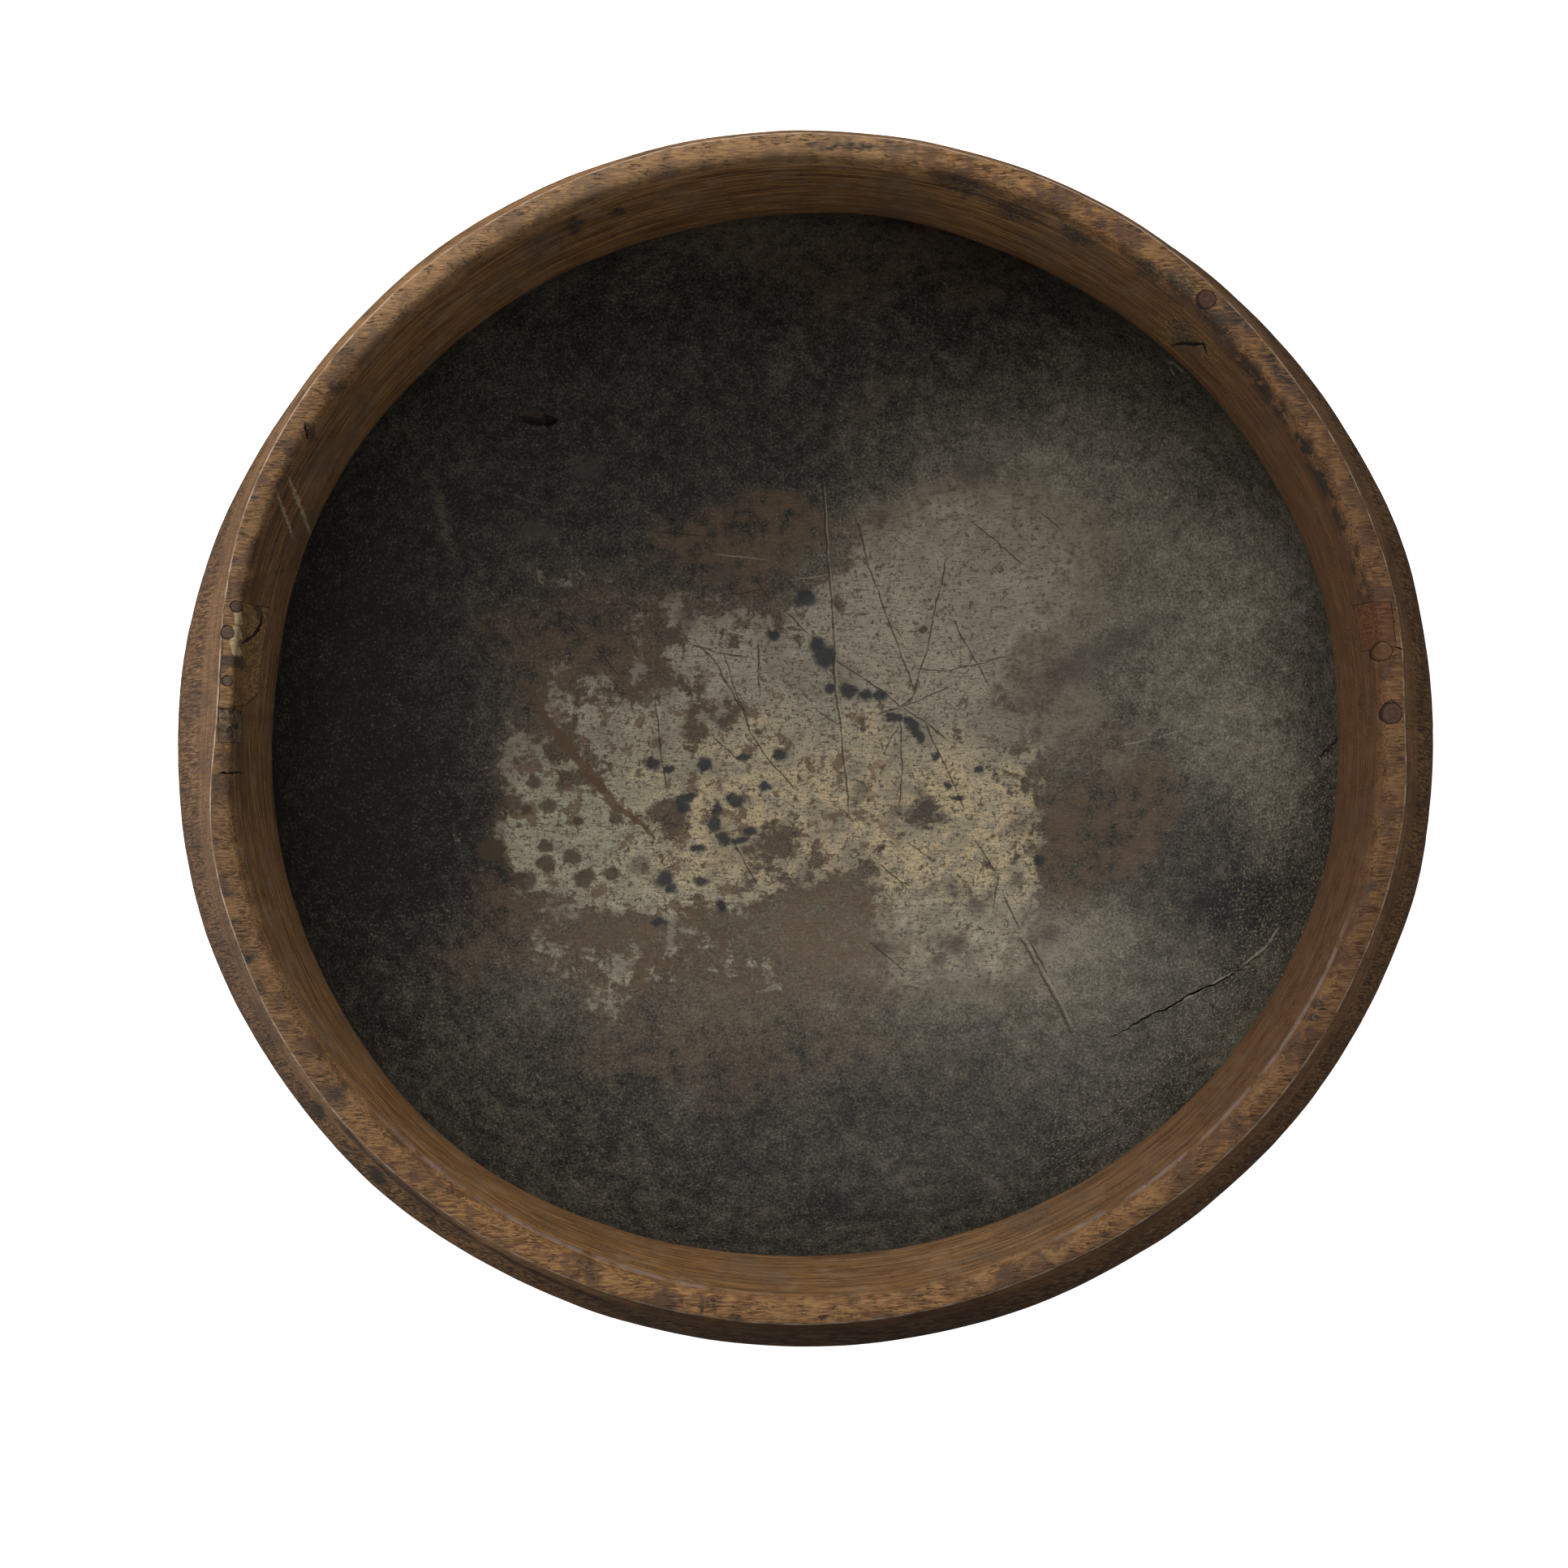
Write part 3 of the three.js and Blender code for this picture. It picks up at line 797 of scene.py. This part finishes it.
def outer_wood():
    """The bowl's outside: torn end grain in short ticks along X, smoother and turned beside the rim."""
    s = Shader("outer_wood")
    fibre = s.grain(0.15, 0.9, 0.3, 5.0, 0.68)
    ticks = s.grain(0.12, 1.5, 0.1, 2.0)
    blotch = s.noise(s.place, 0.05, 4.0, 0.6)
    rings = s.turning(0.03, 0.8, 3.0)
    band = s.step(s.arc, -15, -10)
    base = s.mix(s.step(fibre, 0.38, 0.64), (0.08, 0.035, 0.012), (0.32, 0.172, 0.062))
    low = s.step(s.plus(s.arc, s.times(blotch, 40.0)), 0, -45)
    grain = s.grain(0.02, 0.7, 0.7, 6.0, 0.65)
    plain = s.mix(s.step(grain, 0.38, 0.62), (0.085, 0.041, 0.019), (0.205, 0.112, 0.049))
    base = s.mix(low, base, plain)
    smooth = s.mix(s.step(rings, 0.38, 0.62), (0.135, 0.064, 0.028), (0.285, 0.154, 0.066))
    base = s.over(base, smooth, band, 0.7)
    base = s.mix(s.step(blotch, 0.48, 0.66, 0, 0.6), base, (0.07, 0.036, 0.02))
    torn = s.times(s.step(ticks, 0.54, 0.62), s.step(band, 0, 1, 1, 0.25), s.step(low, 0, 1, 1, 0.12))
    base = s.over(base, (0.024, 0.013, 0.009), torn, 0.85)
    # Painted shade: the wall darkens towards +X, the side away from the key lamp.
    base = s.mix(s.step(s.x, -60, 200, 0, 0.42), base, (0.06, 0.028, 0.013))
    base = s.mix(s.step(s.x, -150, -235, 0, 0.4), base, (0.066, 0.043, 0.031))
    # Painted shade: the wall darkens towards -Y, the side turned down and away from the light.
    base = s.mix(s.step(s.y, -195, -240, 0, 0.5), base, (0.04, 0.017, 0.008))
    upper = s.step(s.arc, -52, -44)
    stain = s.times(s.marks(WALL_STAINS, 0.3, 5, 1.3, 0.5), upper)
    base = s.over(base, (0.022, 0.02, 0.017), stain, s.step(fibre, 0.35, 0.55, 0.5, 0.9))
    # Painted shadow: the groove beside the rim is drawn as a dark line, the shade in its recess.
    groove = s.times(s.step(s.lines(s.shaken(0.2, 1.5), [(0.8, *groove_line())]), 1.5, 0.4), upper)
    base = s.over(base, (0.022, 0.013, 0.009), groove, 0.8)
    # Edges: worn polish with painted highlights.
    base = worn_edge_highlights(s, base)
    relief = s.plus(s.times(fibre, s.step(low, 0, 1, 0.9, 0.1)), s.times(grain, s.step(low, 0, 1, 0.0, 0.9)))
    height = s.plus(relief, s.times(torn, -0.6))
    return s.finish(base, s.step(fibre, 0.3, 0.7, 0.72, 0.5), height, 0.5)


def groove_line():
    """Where the groove beside the rim runs, on the plan."""
    points = []
    for along in np.linspace(0.02, 0.98, 8):
        angle = GROOVE["start"] + (GROOVE["end"] - GROOVE["start"]) * along
        drop = groove_drop(along)
        theta = math.radians(angle)
        radius = (RIM_RADIUS + 0.4 * drop) * (1 + OVAL_AT_RIM * math.cos(2 * theta))
        radius += float(lobes(np.array([angle]), RIM_LOBES)[0])
        points.append((radius * math.cos(theta), radius * math.sin(theta)))
    return points


def worn_edge_highlights(s, base):
    """Worn, polished edges carrying painted highlights: a pale line on the crisp outer edge all round,
    partly painted highlight, and a painted lilac-grey highlight on the inner edge on two sides.
    """
    # Outer edge: pale worn wood plus a painted highlight, the glint of light along the crisp edge.
    edge = s.step(s.math("ABSOLUTE", s.math("SUBTRACT", s.arc, 0.3)), 0.95, 0.3)
    patchy = s.step(s.noise(s.place, 0.12, 2.0), 0.4, 0.6, 0.3, 0.9)
    base = s.mix(s.times(edge, patchy), base, (0.42, 0.33, 0.25))
    # Inner edge: a painted highlight, the lamp's glint on the rounded edge, on two sides only.
    inner = s.step(s.math("ABSOLUTE", s.math("SUBTRACT", s.arc, 14.5)), 2.0, 0.4)
    where = s.math("ADD", s.sector(243, 14), s.sector(317, 18), clamp=True)
    inner_highlight = s.times(inner, where, s.step(s.noise(s.place, 0.12, 3.0), 0.34, 0.54))
    return s.mix(s.times(inner_highlight, 0.45), base, (0.215, 0.165, 0.148))


def rim_wood():
    """The rim's top, its grain torn in ticks along X, and the turned collar inside it."""
    s = Shader("rim_wood")
    fibre = s.grain(0.16, 1.3, 1.3, 5.0, 0.68)
    ticks = s.grain(0.3, 1.8, 1.8, 3.0, 0.6)
    blotch = s.noise(s.place, 0.09, 4.0, 0.65)
    patchy = s.noise(s.place, 0.045, 4.0, 0.6)
    top = s.mix(s.step(fibre, 0.36, 0.65), (0.075, 0.032, 0.011), (0.27, 0.14, 0.051))
    top = s.mix(s.step(blotch, 0.5, 0.62, 0, 0.75), top, (0.078, 0.038, 0.018))
    top = s.mix(s.step(blotch, 0.46, 0.36, 0, 0.45), top, (0.26, 0.148, 0.06))
    top = s.mix(s.step(patchy, 0.5, 0.62, 0, 0.6), top, (0.06, 0.033, 0.018))
    # Painted light: the rim top is lighter round 110°, on the side nearest the key lamp.
    top = s.over(top, (0.3, 0.195, 0.105), s.sector(110, 26), 0.26)
    torn = s.times(s.step(ticks, 0.54, 0.63), s.step(s.noise(s.place, 0.14, 3.0), 0.45, 0.6))
    top = s.over(top, (0.026, 0.016, 0.01), torn, 0.85)

    rings = s.turning(0.022, 1.25, 5.0, 0.7)
    fine = s.turning(0.05, 2.6, 2.0)
    collar = s.mix(s.step(rings, 0.36, 0.64), (0.07, 0.031, 0.01), (0.228, 0.114, 0.038))
    collar = s.mix(s.step(fine, 0.5, 0.62, 0, 0.7), collar, (0.04, 0.021, 0.01))
    pale = s.turning(0.06, 0.16, 3.0)
    collar = s.mix(s.step(pale, 0.52, 0.7, 0, 0.5), collar, (0.165, 0.105, 0.06))
    collar = s.mix(s.step(patchy, 0.46, 0.36, 0, 0.5), collar, (0.09, 0.058, 0.034))
    scraped = s.times(s.step(s.turning(0.03, 2.4, 2.0), 0.6, 0.68), s.step(pale, 0.4, 0.6))
    collar = s.over(collar, (0.27, 0.2, 0.125), scraped, 0.55)
    # Painted shade: darker towards +X, the side turned away from the key lamp, on the collar here and on the
    # whole rim below.
    side = s.step(s.x, 60, 225)
    collar = s.over(collar, (0.04, 0.016, 0.007), side, 0.45)
    # Painted shadow: the foot of the collar and the undercut below the lip are darkened as shade, much less
    # round 285°, the side turned to the light.
    lip_shadow = s.step(s.plus(s.arc, s.times(rings, 8.0)), 48, 57)
    lip_shadow = s.times(lip_shadow, s.math("SUBTRACT", 1.0, s.times(s.sector(285, 40), 0.75)))
    collar = s.mix(lip_shadow, collar, (0.022, 0.018, 0.01))

    inward = s.step(s.plus(s.arc, s.times(blotch, 7.0)), 14, 20)
    base = s.mix(inward, top, collar)
    # Painted shade on the +X side, away from the key lamp.
    base = s.over(base, (0.05, 0.019, 0.006), side, 0.48)
    base = s.mix(s.step(s.x, -130, -225, 0, 0.32), base, (0.045, 0.03, 0.019))
    grime = s.times(s.sector(27, 10), s.step(s.math("ABSOLUTE", s.math("SUBTRACT", s.arc, 14.0)), 7.0, 1.0))
    base = s.over(base, (0.018, 0.013, 0.01), grime, s.step(blotch, 0.46, 0.53, 0.0, 0.95))
    stain = s.marks(RIM_STAINS, 0.22, 7, 1.5, 0.3)
    base = s.over(base, (0.022, 0.018, 0.015), stain, s.step(ticks, 0.36, 0.56, 0.15, 0.95))
    lichen = s.times(s.marks(LICHEN, 0.3, 6, 1.3, 0.5), s.step(s.noise(s.place, 0.7, 2.0), 0.5, 0.62))
    base = s.over(base, (0.15, 0.118, 0.032), lichen, 0.6)
    # Edges: worn polish with painted highlights.
    base = worn_edge_highlights(s, base)
    pale_mark = s.times(s.marks(PALE_MARKS, 0.4, 2, 1.2, 0.8), s.step(fibre, 0.4, 0.55))
    base = s.over(base, (0.36, 0.29, 0.18), pale_mark, 0.7)
    crack = s.marks(RIM_CRACKS, 0.5, 1.8, 1.3, 0.5, s.lines)
    base = s.over(base, (0.014, 0.009, 0.006), crack, 0.9)
    height = s.plus(s.times(fibre, 0.9), s.times(torn, -0.6))
    height = s.plus(height, s.times(inward, s.times(rings, 0.9)))
    height = s.math("SUBTRACT", height, s.times(crack, 1.6))
    rough = s.mix(inward, (0.62, 0.62, 0.62), (0.5, 0.5, 0.5))
    rough = s.times(s.step(blotch, 0.3, 0.7, 1.1, 0.9), rough)
    return s.finish(base, rough, height, 0.45, sheen=0.22)


def basin_wood():
    """The basin: black to worn brown, with a flaking silvery film, spots and scratches in the middle."""
    s = Shader("basin_wood")
    silver = s.field("silver")
    brown = s.field("brown")
    cloud = s.noise(s.place, 0.045, 4.0, 0.6)
    mottle = s.noise(s.place, 0.16, 5.0, 0.65)
    fibre = s.grain(0.22, 1.5, 1.0, 3.0, 0.6)
    speck = s.noise(s.place, 1.0, 3.0, 0.65)

    level = s.plus(s.plus(0.26, s.field("tone")), s.swing(cloud, 0.55))
    level = s.times(s.plus(s.plus(level, s.swing(mottle, 0.95)), s.swing(speck, 1.9)), 0.82)
    ramp = s.node("ShaderNodeValToRGB", {"Fac": level})
    stops = [(0.0, (0.004, 0.0037, 0.003)), (0.18, (0.0165, 0.0145, 0.011)), (0.37, (0.039, 0.0343, 0.025)),
             (0.57, (0.072, 0.0633, 0.046)), (0.8, (0.128, 0.113, 0.083)), (1.0, (0.185, 0.164, 0.12))]
    elements = ramp.color_ramp.elements
    while len(elements) < len(stops):
        elements.new(0.5)
    for element, (place, colour) in zip(elements, stops):
        element.position = place
        element.color = (*colour, 1)
    base = ramp.outputs[0]
    browner = s.times(s.step(brown, 0.1, 0.9), s.step(s.plus(mottle, s.times(cloud, 0.5)), 0.55, 0.85))
    base = s.over(base, (0.074, 0.044, 0.024), browner, 0.75)

    flake = s.noise(s.shaken(0.1, 7), 0.12, 8.0, 0.74)
    cover = s.plus(s.plus(flake, s.times(silver, 0.42)), s.swing(cloud, 0.55))
    crisp = s.step(cover, 0.72, 0.8)
    misty = s.step(s.plus(s.x, s.times(s.y, 0.8)), 70, 130)
    misty = s.math("MAXIMUM", misty, s.times(s.step(s.y, -48, -74), s.step(s.x, 5, 40)))
    film = s.plus(s.times(crisp, s.step(misty, 0, 1, 1, 0)), s.times(s.step(cover, 0.55, 1.0), misty))
    ground = s.step(silver, 0.2, 0.7)
    bare = s.mix(s.step(speck, 0.35, 0.65), (0.04, 0.027, 0.017), (0.11, 0.08, 0.052))
    base = s.over(base, bare, ground, 0.55)
    warm = s.step(s.plus(s.y, s.times(cloud, 90.0)), 25, 70)
    cream = s.mix(s.step(s.x, -95, -35), (0.255, 0.24, 0.165), (0.375, 0.295, 0.17))
    cream = s.mix(s.step(s.y, -46, -70), cream, (0.315, 0.275, 0.195))
    film_colour = s.mix(warm, cream, (0.236, 0.208, 0.152))
    film_colour = s.mix(s.step(mottle, 0.44, 0.58, 0, 0.7), film_colour, (0.198, 0.179, 0.131))
    film_colour = s.mix(s.step(cloud, 0.5, 0.62, 0, 0.5), film_colour, (0.127, 0.108, 0.079))
    film_colour = s.mix(s.step(silver, 0.9, 0.4, 0, 0.6), film_colour, (0.12, 0.1, 0.072))
    film_colour = s.mix(s.step(speck, 0.42, 0.62, 0, 0.45), film_colour, (0.1, 0.082, 0.058))
    film_colour = s.mix(s.step(fibre, 0.52, 0.66, 0, 0.5), film_colour, (0.085, 0.066, 0.045))
    base = s.over(base, film_colour, film, 0.95)
    island = s.step(s.noise(s.shaken(0.2, 4), 0.1, 6.0, 0.68), 0.55, 0.58)
    island = s.times(island, s.step(s.x, 60, 10), s.step(s.y, 50, 20))
    base = s.over(base, (0.082, 0.05, 0.028), island, ground, 0.8)
    pits = s.step(s.noise(s.place, 0.5, 5.0, 0.75), 0.55, 0.59)
    base = s.over(base, (0.046, 0.032, 0.021), pits, s.step(ground, 0, 1, 0.25, 0.8))
    base = s.mix(s.step(fibre, 0.5, 0.72, 0, 0.35), base, (0.018, 0.015, 0.012))
    fleck = s.step(speck, 0.64, 0.72)
    dusty = s.times(s.sector(-30, 26), s.step(s.vector("LENGTH", s.plan), 168, 192))
    fleck = s.math("MAXIMUM", fleck, s.times(dusty, s.step(speck, 0.58, 0.64)))
    base = s.over(base, (0.17, 0.14, 0.085), fleck, 0.55)
    lip = s.times(s.step(s.arc, 66, 57), s.step(s.turning(0.02, 1.3, 3.0), 0.5, 0.62))
    base = s.over(base, (0.085, 0.072, 0.052), lip, 0.6)

    smudge = s.marks(SMUDGES, 0.12, 7, 1.6, 0.3)
    base = s.over(base, (0.04, 0.032, 0.026), smudge, 0.6)
    groove = s.marks(BROWN_GROOVE, 0.3, 3, 1.3, 0.8, s.lines)
    base = s.over(base, (0.064, 0.036, 0.018), groove, 0.85)
    brown_spot = s.marks(BROWN_SPOTS, 0.25, 4, 1.45, 0.8)
    base = s.over(base, (0.038, 0.024, 0.014), brown_spot, 0.85)
    spot = s.marks(SPOTS, 0.25, 4.5, 1.6, 0.7)
    base = s.over(base, (0.015, 0.016, 0.017), spot, 0.93)

    steady = s.shaken(0.12, 2.0)
    scratch = s.step(s.lines(steady, SCRATCHES), 1.25, 0.5)
    base = s.over(base, (0.026, 0.018, 0.012), scratch, 0.8)
    pale = s.step(s.lines(steady, PALE_LINES), 1.2, 0.4)
    base = s.over(base, (0.23, 0.2, 0.14), pale, 0.45)
    smear = s.marks(SMEARS, 0.2, 5, 1.3, 0.2)
    base = s.over(base, (0.105, 0.086, 0.06), smear, s.step(fibre, 0.35, 0.6), 0.45)
    crack = s.times(s.marks(BASIN_CRACKS, 0.5, 2.5, 1.3, 0.7, s.lines), s.step(mottle, 0.36, 0.5, 0.25, 1))
    base = s.mix(crack, base, (0.008, 0.006, 0.004))

    height = s.plus(s.times(film, 0.3), s.times(fibre, 0.5))
    height = s.math("SUBTRACT", height, s.plus(s.times(scratch, 0.6), s.times(crack, 3.0)))
    return s.finish(base, s.step(film, 0, 1, 0.62, 0.52), height, 0.25, sheen=0.16)


def joint_wood():
    """Wood hidden in the joints: bare, dark and dusty."""
    s = Shader("joint_wood")
    fibre = s.grain(0.2, 1.2, 1.2, 3.0)
    base = s.mix(s.step(fibre, 0.35, 0.65), (0.007, 0.005, 0.004), (0.022, 0.013, 0.008))
    return s.finish(base, s.step(fibre, 0.3, 0.7, 0.9, 0.8), fibre, 0.4)


def patch_wood(name, dark, light, stained):
    s = Shader(name)
    fibre = s.grain(0.14, 1.0, 1.0, 4.0, 0.6)
    blotch = s.noise(s.place, 0.2, 3.0)
    base = s.mix(s.step(fibre, 0.35, 0.66), dark, light)
    base = s.mix(s.step(blotch, 0.5, 0.68, 0, 0.7), base, stained)
    pore = s.step(s.grain(0.3, 1.8, 1.8, 2.0), 0.58, 0.68)
    base = s.over(base, (0.035, 0.02, 0.011), pore, 0.5)
    stain = s.marks(PATCH_STAINS, 0.3, 3, 1.2, 0.6)
    base = s.over(base, (0.03, 0.024, 0.02), stain, 0.75)
    pale_mark = s.marks(PALE_MARKS[:3], 0.4, 2.4, 1.25, 0.8)
    base = s.over(base, (0.38, 0.3, 0.18), pale_mark, 0.65)
    # Edges: worn polish with painted highlights.
    base = worn_edge_highlights(s, base)
    height = s.math("SUBTRACT", s.times(fibre, 0.7), s.times(pore, 0.3))
    return s.finish(base, s.step(blotch, 0.3, 0.7, 0.66, 0.5), height, 0.5, sheen=0.15)


def rotten_wood():
    """The crumbled filler: dark holes among pale, loose fragments."""
    s = Shader("rotten_wood")
    lump = s.grain(0.35, 0.5, 0.5, 5.0, 0.7)
    hole = s.step(s.noise(s.place, 0.3, 4.0, 0.6), 0.43, 0.36)
    base = s.mix(s.step(lump, 0.38, 0.62), (0.048, 0.029, 0.016), (0.135, 0.086, 0.044))
    bit = s.step(s.noise(s.place, 0.45, 4.0, 0.6), 0.6, 0.66)
    base = s.over(base, (0.26, 0.2, 0.125), bit, 0.6)
    base = s.over(base, (0.018, 0.013, 0.009), hole, 0.85)
    height = s.math("SUBTRACT", lump, s.times(hole, 0.8))
    return s.finish(base, s.step(lump, 0.3, 0.7, 0.95, 0.8), height, 1.2)


def peg_wood(name, x, y, radius, colour):
    """End grain of a whittled pin: faint rings, torn fibres and a thin dark rim of dirt."""
    s = Shader(name)
    centred = s.vector("SUBTRACT", s.shaken(0.5, 1.6), (x + radius * 0.15, y, 0))
    distance = s.math("DIVIDE", s.vector("LENGTH", centred), radius)
    rings = s.math("SINE", s.times(distance, 11.0))
    grime = s.grain(0.5, 1.2, 1.2, 4.0, 0.7)
    dark = tuple(0.62 * c for c in colour)
    base = s.mix(s.step(s.plus(grime, s.times(rings, 0.05)), 0.36, 0.64), dark, colour)
    base = s.mix(s.step(grime, 0.54, 0.66, 0, 0.7), base, (0.03, 0.018, 0.012))
    base = s.mix(s.step(distance, 0.86, 1.02, 0, 0.8), base, (0.018, 0.011, 0.008))
    height = s.plus(s.times(rings, 0.12), s.times(grime, 0.8))
    return s.finish(base, s.step(grime, 0.3, 0.7, 0.75, 0.55), height, 0.35, sheen=0.12)


# ---- build and dress the pieces

pieces = make_pieces()
joint = joint_wood()
outer, rim, basin = outer_wood(), rim_wood(), basin_wood()
honey = patch_wood("patch_wood", (0.085, 0.044, 0.018), (0.215, 0.124, 0.052), (0.09, 0.046, 0.021))
red = patch_wood("red_patch_wood", (0.046, 0.017, 0.008), (0.112, 0.043, 0.018), (0.08, 0.04, 0.016))
rotten = rotten_wood()
SURFACES = {"bowl_body": (outer, rim, basin), "left_rim_patch": (honey,) * 3,
            "left_rim_filler": (rotten,) * 3, "right_rim_patch": (red,) * 3}
for name, (x, y, radius, _, colour) in PEGS.items():
    SURFACES[name] = (peg_wood(name + "_wood", x, y, radius, colour),) * 3
for name, piece in pieces.items():
    for slot, surface in enumerate((*SURFACES[name], joint)):
        piece.data.materials[slot] = surface
    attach(piece, "root")
    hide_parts(name)


# ---- camera, lights and floor

VIEW_ELEVATION = 84.6
VIEW_LEAN = 0.55
VIEW_DISTANCE = 1.8
LENS = 106.2
AIM = Vector((-7.9, -24.4, HEIGHT)) * MM
FLOOR_HALF = 6.0
FLOOR_DROP = 0.0004


def add_camera():
    data = bpy.data.cameras.new("camera")
    data.lens = LENS
    data.sensor_width = 36
    camera = new_object("camera", data)
    camera.rotation_euler = (math.radians(90 - VIEW_ELEVATION), math.radians(VIEW_LEAN), 0)
    camera.location = AIM + camera.rotation_euler.to_matrix() @ Vector((0, 0, VIEW_DISTANCE))
    bpy.context.scene.camera = camera


def add_light(name, place, target, size, power):
    data = bpy.data.lights.new(name, "AREA")
    data.size = size
    data.energy = power
    light = new_object(name, data)
    light.location = place
    light.rotation_euler = (Vector(target) - Vector(place)).to_track_quat("-Z", "Y").to_euler()


def add_floor():
    """A white studio table, seen only from above."""
    mesh = bpy.data.meshes.new("floor")
    corners = [(x * FLOOR_HALF, y * FLOOR_HALF, 0) for x, y in ((-1, -1), (1, -1), (1, 1), (-1, 1))]
    mesh.from_pydata(corners, [], [(0, 1, 2, 3)])
    floor = new_object("floor", mesh)
    floor.location.z = -FLOOR_DROP
    material = bpy.data.materials.new("floor")
    material.use_nodes = True
    nodes, links = material.node_tree.nodes, material.node_tree.links
    shader = nodes["Principled BSDF"]
    for key, value in (("Base Color", (0.9, 0.9, 0.9, 1)), ("Roughness", 0.7),
                       ("Emission Color", (1, 1, 1, 1)), ("Emission Strength", 0.9)):
        shader.inputs[key].default_value = value
    side = nodes.new("ShaderNodeNewGeometry")
    clear = nodes.new("ShaderNodeBsdfTransparent")
    either = nodes.new("ShaderNodeMixShader")
    for index, output in enumerate((side.outputs["Backfacing"], shader.outputs[0], clear.outputs[0])):
        links.new(output, either.inputs[index])
    links.new(either.outputs[0], nodes["Material Output"].inputs["Surface"])
    mesh.materials.append(material)
    floor.visible_diffuse = floor.visible_glossy = floor.visible_shadow = False


def add_world():
    world = bpy.data.worlds.new("studio")
    world.use_nodes = True
    background = world.node_tree.nodes["Background"]
    background.inputs["Color"].default_value = (1, 1, 1, 1)
    background.inputs["Strength"].default_value = 0.07
    bpy.context.scene.world = world


add_camera()
add_light("key", (-0.58, 0.92, 1.02), (0, 0, 0.1), 0.9, 27)
add_light("fill", (0.5, -0.3, 2.2), (0, 0, 0.1), 1.6, 13)
add_light("side", (-1.3, -0.45, 0.18), (0, 0, 0.12), 0.4, 8)
add_light("right", (1.5, -0.1, 0.9), (0, 0, 0.12), 0.6, 6)
add_light("table_bounce", (0, 0, -2.0), (0, 0, 0), 0.4, 14)
add_floor()
add_world()
bpy.context.scene.view_settings.view_transform = "Standard"
